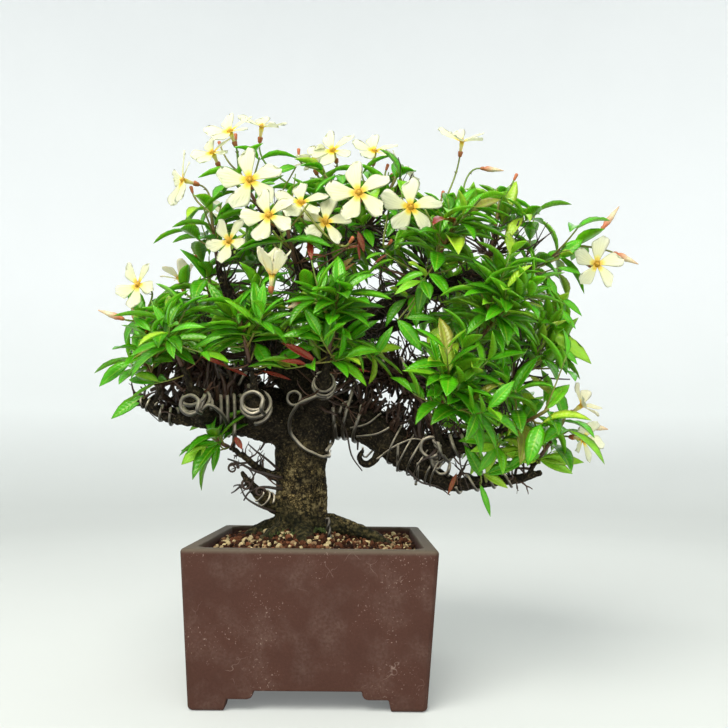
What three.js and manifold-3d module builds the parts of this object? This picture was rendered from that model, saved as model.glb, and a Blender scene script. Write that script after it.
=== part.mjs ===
// An asiatic jasmine grown as a bonsai, in a square unglazed pot.
// Millimetres, +Z up, +X to the viewer's right, +Y away from the viewer. Every place below is measured
// from the middle of the pot on the ground. The whole group is moved at the end, so that its own origin
// is the middle of the whole object's lowest face.
import * as THREE from 'three';
import { mergeVertices } from 'three/addons/utils/BufferGeometryUtils.js';
import Module from 'manifold-3d';

const wasm = await Module();
wasm.setup();

// Pot
const RIM = 110;
const POT_HEIGHT = 66.5;
const TAPER = 4.75;
const WALL = 5.8;
const CORNER = 1.6;
const FLOOR = 14;
const UNDERSIDE = 8.5;
const FOOT_WALL = 8.5;
const DRAIN_RADIUS = 7;
const CUT_FOOT = 35;
const CUT_STEP = 33.9;
const CUT_STEP_IN = 25.5;
const CUT_TOP = 22.7;
const STEP_HEIGHT = 4.7;
const CUT_HEIGHT = 8.1;

// Seats and clearances
const SEAT_GAP = 0.3;
const LEAST_GAP = 0.25;
const WIRE_GAP = 0.5;

// Drain screen
const SCREEN_SIDE = 24;
const SCREEN_THICKNESS = 1.2;
const SCREEN_HOLES = 2;
const SCREEN_HOLE = 4;

// Soil
const SOIL_EDGE = 61.5;
const MOUND = 9;
const MOUND_SPREAD = 23;
const MOUND_CENTRE = [-6, 6];
const GRAIN_RELIEF = 1.1;
const SOIL_CELLS = 11;

// Wires
const WIRE = 0.8;
const THIN_WIRE = 0.65;
const STEPS_A_TURN = 8;
const PRESS_STEP = 0.1;
const MOST_PRESS = 2;

// Leaves: lengths, shares of the length, and the angles that they spread and arch by
const LEAF_THICKNESS = 0.9;
const LEAF_LENGTH = 20;
const END_LEAF_LENGTH = 17;
const LENGTH_SPREAD = 5;
const LEAF_WIDTH = 0.36;
const WIDTH_SPREAD = 0.06;
const LEAF_RINGS = [[0.38, 1], [0.72, 0.75]];
const LEAF_SPLAY = 1.05;
const END_LEAF_SPLAY = 0.75;
const LEAF_DROOP = 0.5;

// Stems: radii, rise towards the light, and where the side shoots leave, as shares of the main stem
const STEM = 1.05;
const SHOOT = 0.55;
const STALK = 0.6;
const STEM_LIFT = 0.12;
const SHOOT_LIFT = 0.18;
const SHOOTS = [[0.27, 0.75], [0.6, 0.6]];
const SHOOT_SPLAY = 0.95;
const PAIRS = [[0.4, 0.73, 0.95], [0.5, 0.93], [0.93]];
const TWIG_TIP = 1.25;

// Flowers
const PETALS = 5;
const THROAT = 1.5;
const FLOWER_TUBE = 6;
const TUBE_TOP = 1.15;
const TUBE_FOOT = 0.85;
const CALYX_LENGTH = 2.6;
const CALYX_RADIUS = 1.5;
const BUD_TIP = 0.35;
// A petal's outline: shares of its slice of the turn and of the flower's radius, and a lift.
const PETAL_EDGE = [[0, 0.17, 0], [0.02, 0.62, 0.5], [0.16, 0.93, 0.7], [0.62, 1, 0.1], [0.86, 0.66, -0.7]];
const PETAL_MIDDLE = [0.46, 0.58];
const PETAL_HALF_THICKNESS = 0.42;

const COLOURS = {
  pot: ['#6b4a45', 0.75, 0],
  soil: ['#7a5a3c', 0.95, 0],
  bark: ['#4a4136', 0.9, 0],
  wire: ['#8d857a', 0.4, 0.9],
  darkWire: ['#4c4a48', 0.5, 0.8],
  screen: ['#33373a', 0.6, 0],
  leaves: ['#3f9a1c', 0.35, 0],
  bloom: ['#f6efc0', 0.6, 0],
};

const turn = Math.PI * 2;
const up = new THREE.Vector3(0, 0, 1);
const vec = (place) => new THREE.Vector3(...place);
const mix = THREE.MathUtils.lerp;

// A seeded random draw, so that the tree comes out the same every time.
function randomFrom(seed) {
  let state = seed;
  return () => {
    state = (state + 0x6d2b79f5) | 0;
    let t = Math.imul(state ^ (state >>> 15), 1 | state);
    t = (t + Math.imul(t ^ (t >>> 7), 61 | t)) ^ t;
    return ((t ^ (t >>> 14)) >>> 0) / 4294967296;
  };
}

// Solids and meshes

function solidOf(geometry) {
  const bare = new THREE.BufferGeometry();
  bare.setAttribute('position', geometry.attributes.position);
  if (geometry.index) bare.setIndex(geometry.index);
  const merged = mergeVertices(bare, 1e-4);
  return new wasm.Manifold(new wasm.Mesh({
    numProp: 3,
    vertProperties: new Float32Array(merged.attributes.position.array),
    triVerts: new Uint32Array(merged.index.array),
  }));
}

function meshOf(name, solid, look) {
  const { vertProperties, triVerts } = solid.getMesh();
  const geometry = new THREE.BufferGeometry();
  geometry.setAttribute('position', new THREE.BufferAttribute(new Float32Array(vertProperties), 3));
  geometry.setIndex(new THREE.BufferAttribute(new Uint32Array(triVerts), 1));
  geometry.computeVertexNormals();
  const [color, roughness, metalness] = COLOURS[look];
  const mesh = new THREE.Mesh(geometry, new THREE.MeshStandardMaterial({ color, roughness, metalness }));
  mesh.name = name;
  return mesh;
}

// Fuses solids and keeps the main body, so that no loose scrap is left.
function fuse(solids) {
  const bodies = wasm.Manifold.union(solids).asOriginal().simplify(0.02).decompose();
  return bodies.reduce((best, body) => (body.volume() > best.volume() ? body : best));
}

// Skins a row of rings into one closed body. A ring of one point is a pointed end.
function skin(rings) {
  const places = rings.flat();
  const faces = [];
  let first = 0;
  for (let k = 0; k + 1 < rings.length; k += 1) {
    const here = rings[k].length;
    const next = rings[k + 1].length;
    const sides = Math.max(here, next);
    for (let j = 0; j < sides; j += 1) {
      const a = first + (j % here);
      const b = first + ((j + 1) % here);
      const c = first + here + ((j + 1) % next);
      const d = first + here + (j % next);
      if (a !== b) faces.push(a, b, c);
      if (c !== d) faces.push(a, c, d);
    }
    first += here;
  }
  for (let j = 1; j + 1 < rings[0].length; j += 1) faces.push(0, j + 1, j);
  for (let j = 1; j + 1 < rings.at(-1).length; j += 1) faces.push(first, first + j, first + j + 1);
  const geometry = new THREE.BufferGeometry().setFromPoints(places);
  geometry.setIndex(faces);
  return solidOf(geometry);
}

// The way along and the two ways across at each [place, radius] station of a route, turned as little
// as the route allows.
function framesAlong(route, first = [0.31, 0.87, 0.38]) {
  let across = vec(first);
  return route.map(([place, radius], k) => {
    const before = route[Math.max(k - 1, 0)][0];
    const after = route[Math.min(k + 1, route.length - 1)][0];
    const along = after.clone().sub(before).normalize();
    across = across.clone().addScaledVector(along, -across.dot(along)).normalize();
    return { place, radius, along, across, side: along.clone().cross(across) };
  });
}

function around({ across, side }, angle) {
  return across.clone().multiplyScalar(Math.cos(angle)).addScaledVector(side, Math.sin(angle));
}

// A tube with even sides along a route. relief(angle, station) swells or furrows it.
function tube(route, sides, relief = () => 1, first = undefined) {
  return skin(framesAlong(route, first).map((frame, k) => Array.from({ length: sides }, (_, j) => {
    const angle = (turn * j) / sides;
    return frame.place.clone().addScaledVector(around(frame, angle), frame.radius * relief(angle, k));
  })));
}

// A limb grows along [x, y, z, radius] points.
function limb(points) {
  const curve = new THREE.CatmullRomCurve3(points.map(([x, y, z]) => new THREE.Vector3(x, y, z)));
  const last = points.length - 1;
  const place = (t) => curve.getPoint(t);
  const radius = (t) => {
    const k = Math.min(Math.floor(t * last), last - 1);
    return mix(points[k][3], points[k + 1][3], t * last - k);
  };
  const route = (steps, extra = 0) =>
    Array.from({ length: steps + 1 }, (_, k) => [place(k / steps), radius(k / steps) + extra]);
  return { place, radius, route, heading: (t) => curve.getTangent(t), steps: last };
}

// Wood: every limb of the tree, from its root end to its tip, and how many sides it has.

const WOOD = {
  trunk: [10, [-8, 5, 46, 14.2], [-8, 5, 60, 14.4], [-8.5, 4, 74, 13], [-8.5, 3, 90, 12.8],
    [-8.5, 2, 104, 12.6],
    [-8, 2, 116, 13.8], [-6, 4, 130, 12.2], [-2, 6, 146, 9.4], [3, 7, 162, 7.2], [7, 6, 178, 5.6],
    [8, 4, 194, 4.4], [6, 2, 209, 3.2], [5, 0, 221, 2.2]],
  root_right: [5, [-4, 1, 72, 6.5], [6, -1, 73, 4.8], [18, -3, 70, 3.7], [29, -4, 66.5, 3],
    [40, -5, 59.5, 2.2]],
  root_left: [5, [-12, 4, 71, 6], [-24, 4, 70, 4.6], [-34, 2, 65, 3.2], [-41, 0, 58, 2.2]],
  root_front: [5, [-8, 0, 69, 6.5], [-6, -12, 68, 4.8], [-3, -21, 64, 3.4], [-1, -28, 57, 2.2]],
  root_front_left: [5, [-12, 0, 69, 6], [-21, -9, 67, 4.2], [-29, -17, 59, 2.6]],
  root_back: [5, [-8, 10, 71, 6.5], [-3, 22, 69, 4.6], [2, 33, 60, 2.8]],
  root_back_left: [5, [-12, 8, 70, 6], [-23, 18, 68, 4], [-32, 27, 59, 2.6]],
  left: [8, [-10, 1, 119, 10.5], [-26, -4, 123, 10.4], [-41, -8, 125, 9.2], [-53, -10, 125.5, 7.2],
    [-63, -12, 124.5, 4.6], [-70, -14, 124, 3.3], [-77, -15, 126.5, 2.7], [-84, -15, 130.5, 2],
    [-89, -14, 130, 1.4]],
  left_stub: [6, [-53, -12, 125, 6], [-56, -21, 128.5, 5.4], [-57.5, -29, 134.5, 4.8]],
  inner_stub: [6, [-30, -6, 124, 7.5], [-29, -21, 127, 5.9], [-28, -32, 133, 5.2]],
  crown_stub: [5, [-3, 0, 128, 8], [0, -14, 134, 5.6], [3, -25, 138, 4.4], [4, -34, 141, 3.8]],
  left_upper: [6, [-8, 8, 126, 9], [-28, 13, 134, 8], [-44, 14, 144, 6], [-58, 12, 153, 4.2],
    [-69, 9, 158, 2.6]],
  left_mid: [5, [-6, 4, 136, 8], [-22, 0, 151, 5.6], [-34, -6, 167, 4.3], [-44, -10, 183, 3.2],
    [-50, -12, 196, 2.2]],
  left_back: [5, [-4, 8, 146, 6.5], [-20, 26, 160, 4.4], [-34, 38, 173, 3.2], [-44, 46, 182, 2.2]],
  right: [8, [-4, 2, 121, 11], [8, 1, 127, 10.6], [20, -1, 124, 9.8], [34, -4, 115, 9], [47, -7, 105, 7.4],
    [57, -9, 97, 5], [66, -10, 93, 3.5], [82, -12, 94.5, 2.8], [98, -12, 96, 2.2], [109, -12, 99, 1.5]],
  right_low_front: [5, [43, -7, 109, 6.5], [60, -15, 110, 5], [74, -19, 113, 3.8], [86, -21, 118, 2.5]],
  right_low_back: [5, [36, 0, 114, 6.5], [54, 14, 113, 4.8], [71, 24, 115, 3.6], [85, 30, 119, 2.4]],
  mid_right: [5, [0, 7, 156, 6.5], [20, 4, 152.5, 5.8], [40, 2, 150, 5], [62, 0, 147.5, 4.2],
    [82, -2, 145, 3.2],
    [94, -3, 144, 2.1]],
  right_upper: [5, [4, 6, 168, 5.6], [24, 2, 178, 4.6], [46, -4, 186, 3.8], [66, -8, 193, 3],
    [82, -10, 201, 2.1]],
  right_back: [5, [4, 8, 164, 5.4], [22, 22, 172, 4.2], [42, 34, 179, 3.2], [58, 42, 185, 2.2]],
  back: [5, [-4, 8, 139, 8], [-2, 26, 148, 5.6], [2, 38, 155, 4.2], [6, 50, 161, 2.6]],
  front_up: [5, [2, 4, 158, 6], [0, -14, 170, 4.2], [-4, -28, 180, 3.1], [-8, -36, 189, 2.1]],
  apex_left: [5, [8, 5, 184, 4.4], [-4, 2, 198, 3.4], [-16, -4, 211, 2.6], [-24, -8, 221, 1.9]],
  low_twig: [4, [-18, 2, 95, 2.8], [-25, -4, 97, 2.2], [-31, -8, 101, 1.8], [-35, -11, 105, 1.5],
    [-39, -13, 107, 1.3]],
  low_knob: [5, [-15, 2, 80, 5], [-23, -5, 83, 4.3], [-27, -9, 86.5, 3], [-32, -12, 92, 2],
    [-36, -14, 98, 1.2]],
  hook: [4, [31, -7, 110, 2.6], [28, -9, 104, 2], [23, -9, 102, 1.7], [20.5, -9, 105.5, 1.4],
    [22.5, -9, 109, 1.1]],
};

// Leafy sprays: the limb that carries each, where along it, the end of its twig, its heading and reach.
const SPRAYS = {
  left_tip: ['left', 0.8, [-77, -22, 140], [-0.45, -0.35, 0.75], 16],
  left_stub: ['left_stub', 0.97, [-61, -37, 146], [-0.35, -0.45, 0.8], 22],
  left_outer: ['left_upper', 1, [-74, 6, 163], [-0.6, -0.1, 0.6], 19],
  left_behind: ['left_upper', 0.72, [-61, 32, 161], [-0.4, 0.7, 0.5], 29],
  left_top: ['left_upper', 0.66, [-55, -3, 170], [-0.05, -0.25, 1], 22],
  left_front: ['inner_stub', 0.97, [-30, -37, 148], [-0.2, -0.45, 0.9], 25],
  left_low: ['low_twig', 1, [-42, -15, 109.5], [-0.75, -0.25, 0.35], 9],
  crown_front: ['crown_stub', 0.97, [6, -41, 152], [0.15, -0.6, 0.75], 27],
  front_up: ['front_up', 1, [-10, -40, 194], [-0.2, -0.6, 0.8], 25],
  apex_left_out: ['left_mid', 1, [-51, -13, 200], [-0.15, -0.15, 0.95], 24],
  apex_left: ['apex_left', 1, [-28, -10, 225], [-0.55, -0.2, 0.8], 25],
  apex_top: ['trunk', 1, [4, -1, 226], [-0.1, 0.1, 1], 23],
  apex_right: ['trunk', 0.95, [23, -8, 221], [0.55, -0.3, 0.8], 27],
  apex_back: ['trunk', 0.9, [7, 22, 213], [0.1, 0.75, 0.6], 28],
  left_mid_back: ['left_back', 1, [-48, 50, 186], [-0.6, 0.6, 0.45], 30],
  left_mid_top: ['left_back', 0.75, [-34, 30, 193], [-0.35, 0.3, 0.9], 27],
  back: ['back', 1, [8, 55, 164], [0.1, 0.85, 0.45], 25],
  right_behind: ['right_back', 1, [62, 45, 188], [0.5, 0.65, 0.5], 30],
  right_top: ['right_upper', 1, [85, -12, 206], [0.15, -0.3, 0.9], 25],
  right_out: ['right_upper', 0.9, [94, 0, 198], [0.92, -0.05, 0.32], 40],
  right_front: ['right_upper', 0.55, [52, -34, 191], [0.35, -0.7, 0.55], 28],
  right_crown: ['right_upper', 0.6, [53, 8, 206], [0.3, 0.15, 0.95], 29],
  mid_right_tip: ['mid_right', 1, [98, -3, 147], [0.75, -0.15, 0.65], 23],
  mid_right_front: ['mid_right', 0.62, [73, -31, 158], [0.45, -0.75, 0.45], 28],
  mid_right_back: ['mid_right', 0.68, [80, 27, 155], [0.6, 0.7, 0.35], 29],
  low_right_front: ['right_low_front', 1, [89, -26, 119], [0.55, -0.6, 0.2], 24],
  low_right_tip: ['right', 0.93, [106, -17, 105], [0.35, -0.35, 0.55], 22],
  low_right_back: ['right_low_back', 1, [88, 33, 122], [0.6, 0.6, 0.45], 28],
  low_right_inner: ['right_low_front', 0.35, [56, -35, 124], [0.15, -0.8, 0.5], 25],
};

// Flowers: the spray that each grows from, its centre, the way it faces, its width, and how far it cups.
// Flowers that touch are one body, named for the first.
const BLOOMS = {
  front_left: [['apex_left', [-31, -48, 231], [0, -1, 0.1], 28, 0.05]],
  crest_left: [
    ['apex_left', [-46, -20, 267], [-0.3, -0.6, 0.8], 25, 0.2],
    ['apex_left', [-55, -17, 257], [-0.35, -0.6, 0.75], 22, 0.15],
  ],
  crest_top: [['apex_top', [-33, 0, 279], [0.2, -0.2, 1], 25, 0.25]],
  far_left_side: [['apex_left_out', [-70, -15, 243], [-1, -0.25, 0.1], 27, 0.15]],
  front_middle: [['apex_top', [19, -55, 223], [-0.1, -1, 0.15], 27, 0.05]],
  front_right: [['apex_right', [43, -45, 220], [0.2, -1, 0.2], 27, 0.05]],
  top_middle: [
    ['apex_top', [5, -5, 264], [-0.3, -0.8, 0.6], 24, 0.15],
    ['apex_top', [-7, 4, 262], [-0.4, 0.3, 0.9], 24, 0.1],
  ],
  top_right: [
    ['apex_right', [27, 2, 267], [0.1, -0.6, 0.8], 24, 0.2],
    ['apex_right', [41, 6, 260], [0.7, 0.1, 0.7], 24, 0.15],
  ],
  front_cluster: [
    ['front_up', [-21, -55, 212], [-0.3, -1, 0.3], 24, 0.1],
    ['front_up', [-7, -50, 220], [0.1, -0.8, 0.7], 23, 0.15],
    ['front_up', [4, -50, 211], [0.4, -0.9, 0.4], 23, 0.1],
  ],
  half_open: [['front_up', [-18, -62, 184], [0.1, -0.4, 1], 24, 1.1]],
  left_tip: [['left_outer', [-90, -15, 189], [-0.6, -0.8, 0.15], 23, 0.2]],
  left_pale: [['left_top', [-75, 6, 198], [-0.4, 0.2, 0.9], 20, 0.6]],
  left_wilted: [['apex_left_out', [-54, 14, 234], [-0.2, 0.6, 0.7], 20, 0.7]],
  left_hidden: [['apex_left', [-42, -35, 206], [-0.5, -0.8, 0.2], 22, 0.2]],
  right_high: [['right_crown', [75, 13, 278], [0.1, -0.3, 1], 26, 0.35]],
  right_far: [['right_out', [139, -12, 203], [0.2, -0.9, -0.2], 25, 0.15]],
  low_right_upper: [['low_right_tip', [129, -15, 132], [0.7, -0.5, 0.6], 20, 0.5]],
  low_right_lower: [['low_right_tip', [127, -22, 115], [0.7, -0.7, -0.2], 20, 0.4]],
};

// Buds: the spray that each grows from, its foot, its tip and its greatest radius.
const BUDS = [
  ['left_outer', [-95, -18, 171], [-107, -20, 175], 1.6],
  ['left_outer', [-91, -13, 171], [-92, -15, 178], 1.2],
  ['right_out', [145, -3, 224], [155, -1, 237], 1.7],
  ['right_out', [149, -8, 210], [161, -9, 204], 1.7],
  ['low_right_tip', [130, -17, 122], [140, -18, 120], 1.8],
  ['right_crown', [85, 12, 262], [97, 10, 260], 1.5],
  ['crown_front', [-6, -58, 172], [-11, -61, 169], 1.4],
];

const limbs = {};
for (const [name, [, ...points]] of Object.entries(WOOD)) limbs[name] = limb(points);

// Beads along every limb, for measuring how far a wire is from the wood.
const BARK_SWELL = 1.06;
const woodBeads = Object.values(limbs).flatMap((each) => each.route(each.steps * 6));

// What is already in place, so that what grows later is bent clear of it.
const placed = [];

function boxOf(solid) {
  const { min, max } = solid.boundingBox();
  return new THREE.Box3(vec(min), vec(max));
}

function note(owner, kind, solid) {
  placed.push({ owner, kind, solid, box: boxOf(solid).expandByScalar(LEAST_GAP) });
  return solid;
}

// Whether a solid is clear of all that is in place, apart from the kinds of its own owner that it joins.
function isClear(solid, owner, joins = []) {
  const box = boxOf(solid);
  return placed.every((other) => {
    if (other.owner === owner && joins.includes(other.kind)) return true;
    if (!box.intersectsBox(other.box)) return true;
    return solid.minGap(other.solid, LEAST_GAP * 2) >= LEAST_GAP;
  });
}

// Grows a solid from a shape that takes the number of the try, and keeps the first try that is clear.
function growClear(owner, kind, joins, tries, shape) {
  for (let k = 0; k < tries; k += 1) {
    const solid = shape(k);
    if (isClear(solid, owner, joins)) return note(owner, kind, solid);
    solid.delete();
  }
  return null;
}

// Pot

function squareRing(half, corner, z) {
  const near = half - corner;
  const corners = [[near, -half], [half, -near], [half, near], [near, half],
    [-near, half], [-half, near], [-half, -near], [-near, -half]];
  return corners.map(([x, y]) => new THREE.Vector3(x, y, z));
}

const halfAt = (z) => RIM / 2 - TAPER * (1 - z / POT_HEIGHT);

function block(half, corner, low, high, taper = 0) {
  return skin([squareRing(half - taper, corner, low), squareRing(half, corner, high)]);
}

function footCut() {
  const outline = new THREE.Shape();
  outline.moveTo(-CUT_FOOT - 1, -STEP_HEIGHT);
  outline.lineTo(CUT_FOOT + 1, -STEP_HEIGHT);
  outline.lineTo(CUT_FOOT, 0);
  outline.lineTo(CUT_STEP, STEP_HEIGHT);
  outline.lineTo(CUT_STEP_IN, STEP_HEIGHT);
  outline.quadraticCurveTo(CUT_TOP, STEP_HEIGHT, CUT_TOP, CUT_HEIGHT);
  outline.lineTo(-CUT_TOP, CUT_HEIGHT);
  outline.quadraticCurveTo(-CUT_TOP, STEP_HEIGHT, -CUT_STEP_IN, STEP_HEIGHT);
  outline.lineTo(-CUT_STEP, STEP_HEIGHT);
  outline.lineTo(-CUT_FOOT, 0);
  outline.closePath();
  const bar = new THREE.ExtrudeGeometry(outline, { depth: RIM * 2, bevelEnabled: false, curveSegments: 4 });
  bar.translate(0, 0, -RIM);
  bar.rotateX(Math.PI / 2);
  return solidOf(bar);
}

function pot() {
  const low = halfAt(0);
  const body = skin([
    squareRing(low - 0.5, CORNER, 0),
    squareRing(halfAt(1), CORNER, 1),
    squareRing(halfAt(POT_HEIGHT - 1), CORNER, POT_HEIGHT - 1),
    squareRing(RIM / 2 - 0.8, CORNER, POT_HEIGHT),
  ]);
  const inside = block(RIM / 2 - WALL, CORNER * 3, FLOOR, POT_HEIGHT + 0.01, TAPER);
  const recess = block(low - FOOT_WALL, CORNER * 3, -1, UNDERSIDE);
  const drain = tube([[vec([0, 0, 0]), DRAIN_RADIUS], [vec([0, 0, FLOOR + 5]), DRAIN_RADIUS]], 16);
  const cut = footCut();
  const hollow = body.subtract(inside).subtract(recess).subtract(drain);
  return hollow.subtract(cut).subtract(cut.rotate([0, 0, 90]));
}

function drainScreen() {
  const low = FLOOR + SEAT_GAP;
  let plate = block(SCREEN_SIDE / 2, 2, low, low + SCREEN_THICKNESS);
  const pitch = SCREEN_HOLE * 1.6;
  for (let row = 0; row < SCREEN_HOLES; row += 1) {
    for (let column = 0; column < SCREEN_HOLES; column += 1) {
      const middle = (SCREEN_HOLES - 1) / 2;
      const hole = solidOf(new THREE.BoxGeometry(SCREEN_HOLE, SCREEN_HOLE, FLOOR * 4));
      plate = plate.subtract(hole.translate([(column - middle) * pitch, (row - middle) * pitch, 0]));
    }
  }
  return plate;
}

// Soil

function moundHeight(x, y) {
  const away = (x - MOUND_CENTRE[0]) ** 2 + (y - MOUND_CENTRE[1]) ** 2;
  return SOIL_EDGE + MOUND * Math.exp(-away / (2 * MOUND_SPREAD ** 2));
}

function soil() {
  const random = randomFrom(11);
  const top = FLOOR + SOIL_EDGE;
  const half = RIM / 2 - WALL - SEAT_GAP;
  const filling = skin([
    squareRing(half - TAPER * 0.95, CORNER * 3, FLOOR + SEAT_GAP),
    squareRing(half, CORNER * 3, POT_HEIGHT),
    squareRing(half, CORNER * 3, top + MOUND),
  ]);
  const grid = new THREE.PlaneGeometry(RIM, RIM, SOIL_CELLS, SOIL_CELLS);
  const cell = RIM / SOIL_CELLS;
  const places = grid.attributes.position;
  const cover = [];
  for (let k = 0; k < places.count; k += 1) {
    const inner = Math.max(Math.abs(places.getX(k)), Math.abs(places.getY(k))) < RIM / 2 - 1;
    const x = places.getX(k) + (inner ? (random() - 0.5) * cell * 0.5 : 0);
    const y = places.getY(k) + (inner ? (random() - 0.5) * cell * 0.5 : 0);
    cover.push(new THREE.Vector3(x, y, moundHeight(x, y) + (random() - 0.5) * 2 * GRAIN_RELIEF));
  }
  const row = SOIL_CELLS + 1;
  const rim = [];
  for (let k = 0; k < SOIL_CELLS; k += 1) rim.push(k);
  for (let k = 0; k < SOIL_CELLS; k += 1) rim.push(k * row + SOIL_CELLS);
  for (let k = 0; k < SOIL_CELLS; k += 1) rim.push(row * row - 1 - k);
  for (let k = 0; k < SOIL_CELLS; k += 1) rim.push((SOIL_CELLS - k) * row);
  const lid = cover.concat(rim.map((k) => cover[k].clone().setZ(top + MOUND * 2)));
  const faces = Array.from(grid.index.array);
  for (let k = 0; k < faces.length; k += 3) [faces[k], faces[k + 1]] = [faces[k + 1], faces[k]];
  rim.forEach((edge, k) => {
    const next = (k + 1) % rim.length;
    const over = cover.length + k;
    const nextOver = cover.length + next;
    faces.push(rim[next], edge, over, rim[next], over, nextOver);
    if (k > 0 && k + 1 < rim.length) faces.push(cover.length, nextOver, over);
  });
  const air = new THREE.BufferGeometry().setFromPoints(lid);
  air.setIndex(faces);
  let ground = filling.subtract(solidOf(air));
  for (const name of Object.keys(WOOD).filter((each) => each === 'trunk' || each.startsWith('root'))) {
    const route = limbs[name].route(limbs[name].steps, SEAT_GAP + 0.25);
    ground = ground.subtract(tube(route, WOOD[name][0], name === 'trunk' ? barkRelief : undefined));
  }
  const [, foot] = WOOD.trunk;
  const [x, y, z, radius] = foot;
  const well = tube([[vec([x, y, z - SEAT_GAP]), radius + 1], [vec([x, y, z + 14]), radius]], 12);
  const screenRoom = block(SCREEN_SIDE / 2 + SEAT_GAP, 2, FLOOR, FLOOR + 2 * SEAT_GAP + SCREEN_THICKNESS);
  return fuse([ground.subtract(well).subtract(anchorHole()).subtract(screenRoom)]);
}

// Wood

// Furrows and swellings of the old bark.
function barkRelief(angle, k) {
  return 1 + 0.045 * Math.sin(3 * angle + 1.7 * k) + 0.035 * Math.sin(5 * angle - 2.3 * k);
}

// The twig that reaches from a limb to the foot of a spray.
function twigTo([host, at, seat, heading]) {
  const start = limbs[host].place(at);
  const end = vec(seat);
  const last = end.clone().addScaledVector(vec(heading).normalize(), -4);
  const middle = start.clone().lerp(last, 0.5).addScaledVector(up, -start.distanceTo(last) * 0.06);
  const thick = Math.min(limbs[host].radius(at) * 0.75, 2.4);
  const half = mix(thick, TWIG_TIP, 0.5);
  return limb([[...start, thick], [...middle, half], [...last, TWIG_TIP], [...end, TWIG_TIP]]);
}

function wood() {
  const solids = [];
  for (const [name, [sides]] of Object.entries(WOOD)) {
    const relief = name === 'trunk' ? barkRelief : undefined;
    solids.push(note('tree', name, tube(limbs[name].route(limbs[name].steps, 0), sides, relief)));
  }
  for (const [name, spray] of Object.entries(SPRAYS)) {
    solids.push(note('tree', `twig ${name}`, tube(twigTo(spray).route(3, 0), 3)));
  }
  return fuse(solids);
}

// Wires

// How far out from a limb's axis a wire lies clear of the wood there, the limbs that leave it included.
function clearReach(axis, out, least, wire) {
  let reach = least;
  const free = (point) => woodBeads.every(([place, radius]) =>
    place.distanceTo(point) > radius * BARK_SWELL + wire + WIRE_GAP);
  while (reach < least * 3 && !free(axis.clone().addScaledVector(out, reach))) reach += 0.2;
  return reach;
}

// A wire wound round a limb, clear of the bark all the way, and pressed that much nearer to it.
function coil([name, from, to, turns, phase, wire = WIRE], press) {
  const host = limbs[name];
  const steps = Math.round(turns * STEPS_A_TURN);
  const stand = 1 / Math.cos(Math.PI / STEPS_A_TURN);
  const route = [];
  for (let k = 0; k <= steps; k += 1) {
    const t = mix(from, to, k / steps);
    const along = host.heading(t);
    const across = new THREE.Vector3(0, -1, 0.01);
    across.addScaledVector(along, -across.dot(along)).normalize();
    const side = along.clone().cross(across);
    const angle = phase + (turn * turns * k) / steps;
    const out = across.multiplyScalar(Math.cos(angle)).addScaledVector(side, Math.sin(angle));
    const reach = clearReach(host.place(t), out, host.radius(t) + wire + WIRE_GAP, wire) * stand - press;
    route.push([host.place(t).addScaledVector(out, reach), wire]);
  }
  return tube(route, 4);
}

// The coil that lies nearest to the bark without touching it.
function seatedCoil(name, spec) {
  for (let press = MOST_PRESS; press >= 0; press -= PRESS_STEP) {
    const wire = coil(spec, press);
    if (isClear(wire, name)) return wire;
    wire.delete();
  }
  throw new Error(`${name} touches its neighbour`);
}

const WIRES = {
  wire_left_tip: ['left', 0.58, 0.74, 2.2, 0.4, THIN_WIRE],
  wire_left_stub: ['left_stub', 0.5, 0.94, 2.1, 0.8],
  wire_inner_stub: ['inner_stub', 0.5, 0.94, 2.1, 0.2],
  wire_left_main: ['left', 0.23, 0.33, 1.7, 0.5],
  wire_trunk: ['trunk', 0.43, 0.29, 0.8, -0.6],
  wire_crown_stub: ['crown_stub', 0.62, 0.95, 2.6, 0.5, THIN_WIRE],
  wire_right_main: ['right', 0.13, 0.25, 2.2, 0.5],
  wire_right_tip: ['right', 0.68, 0.86, 3.2, 0.3, THIN_WIRE],
};

// The twisted end of the wire that holds the root ball, and its hole in the soil.
const ANCHOR = {
  place: [9, -16],
  foot: 50,
  top: 77,
  reach: 1.4,
  lean: 0.12,
  turns: 2,
  steps: 14,
  flat: 0.45,
};

function anchorAxis(z) {
  const [x, y] = ANCHOR.place;
  return new THREE.Vector3(x - (z - ANCHOR.foot) * ANCHOR.lean, y, z);
}

function anchorWire() {
  const { foot, top, reach, turns, steps, flat } = ANCHOR;
  const rings = Array.from({ length: steps + 1 }, (_, k) => {
    const angle = (turn * turns * k) / steps;
    const middle = anchorAxis(mix(foot, top, k / steps));
    return [flat, Math.PI - flat, Math.PI + flat, -flat].map((corner) => {
      const out = new THREE.Vector3(Math.cos(angle + corner), Math.sin(angle + corner), 0);
      return out.multiplyScalar(reach).add(middle);
    });
  });
  return skin(rings);
}

function anchorHole() {
  const radius = ANCHOR.reach + SEAT_GAP + 0.2;
  return tube([[anchorAxis(ANCHOR.foot - SEAT_GAP), radius], [anchorAxis(ANCHOR.top + 9), radius]], 8);
}

// Flowers

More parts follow.
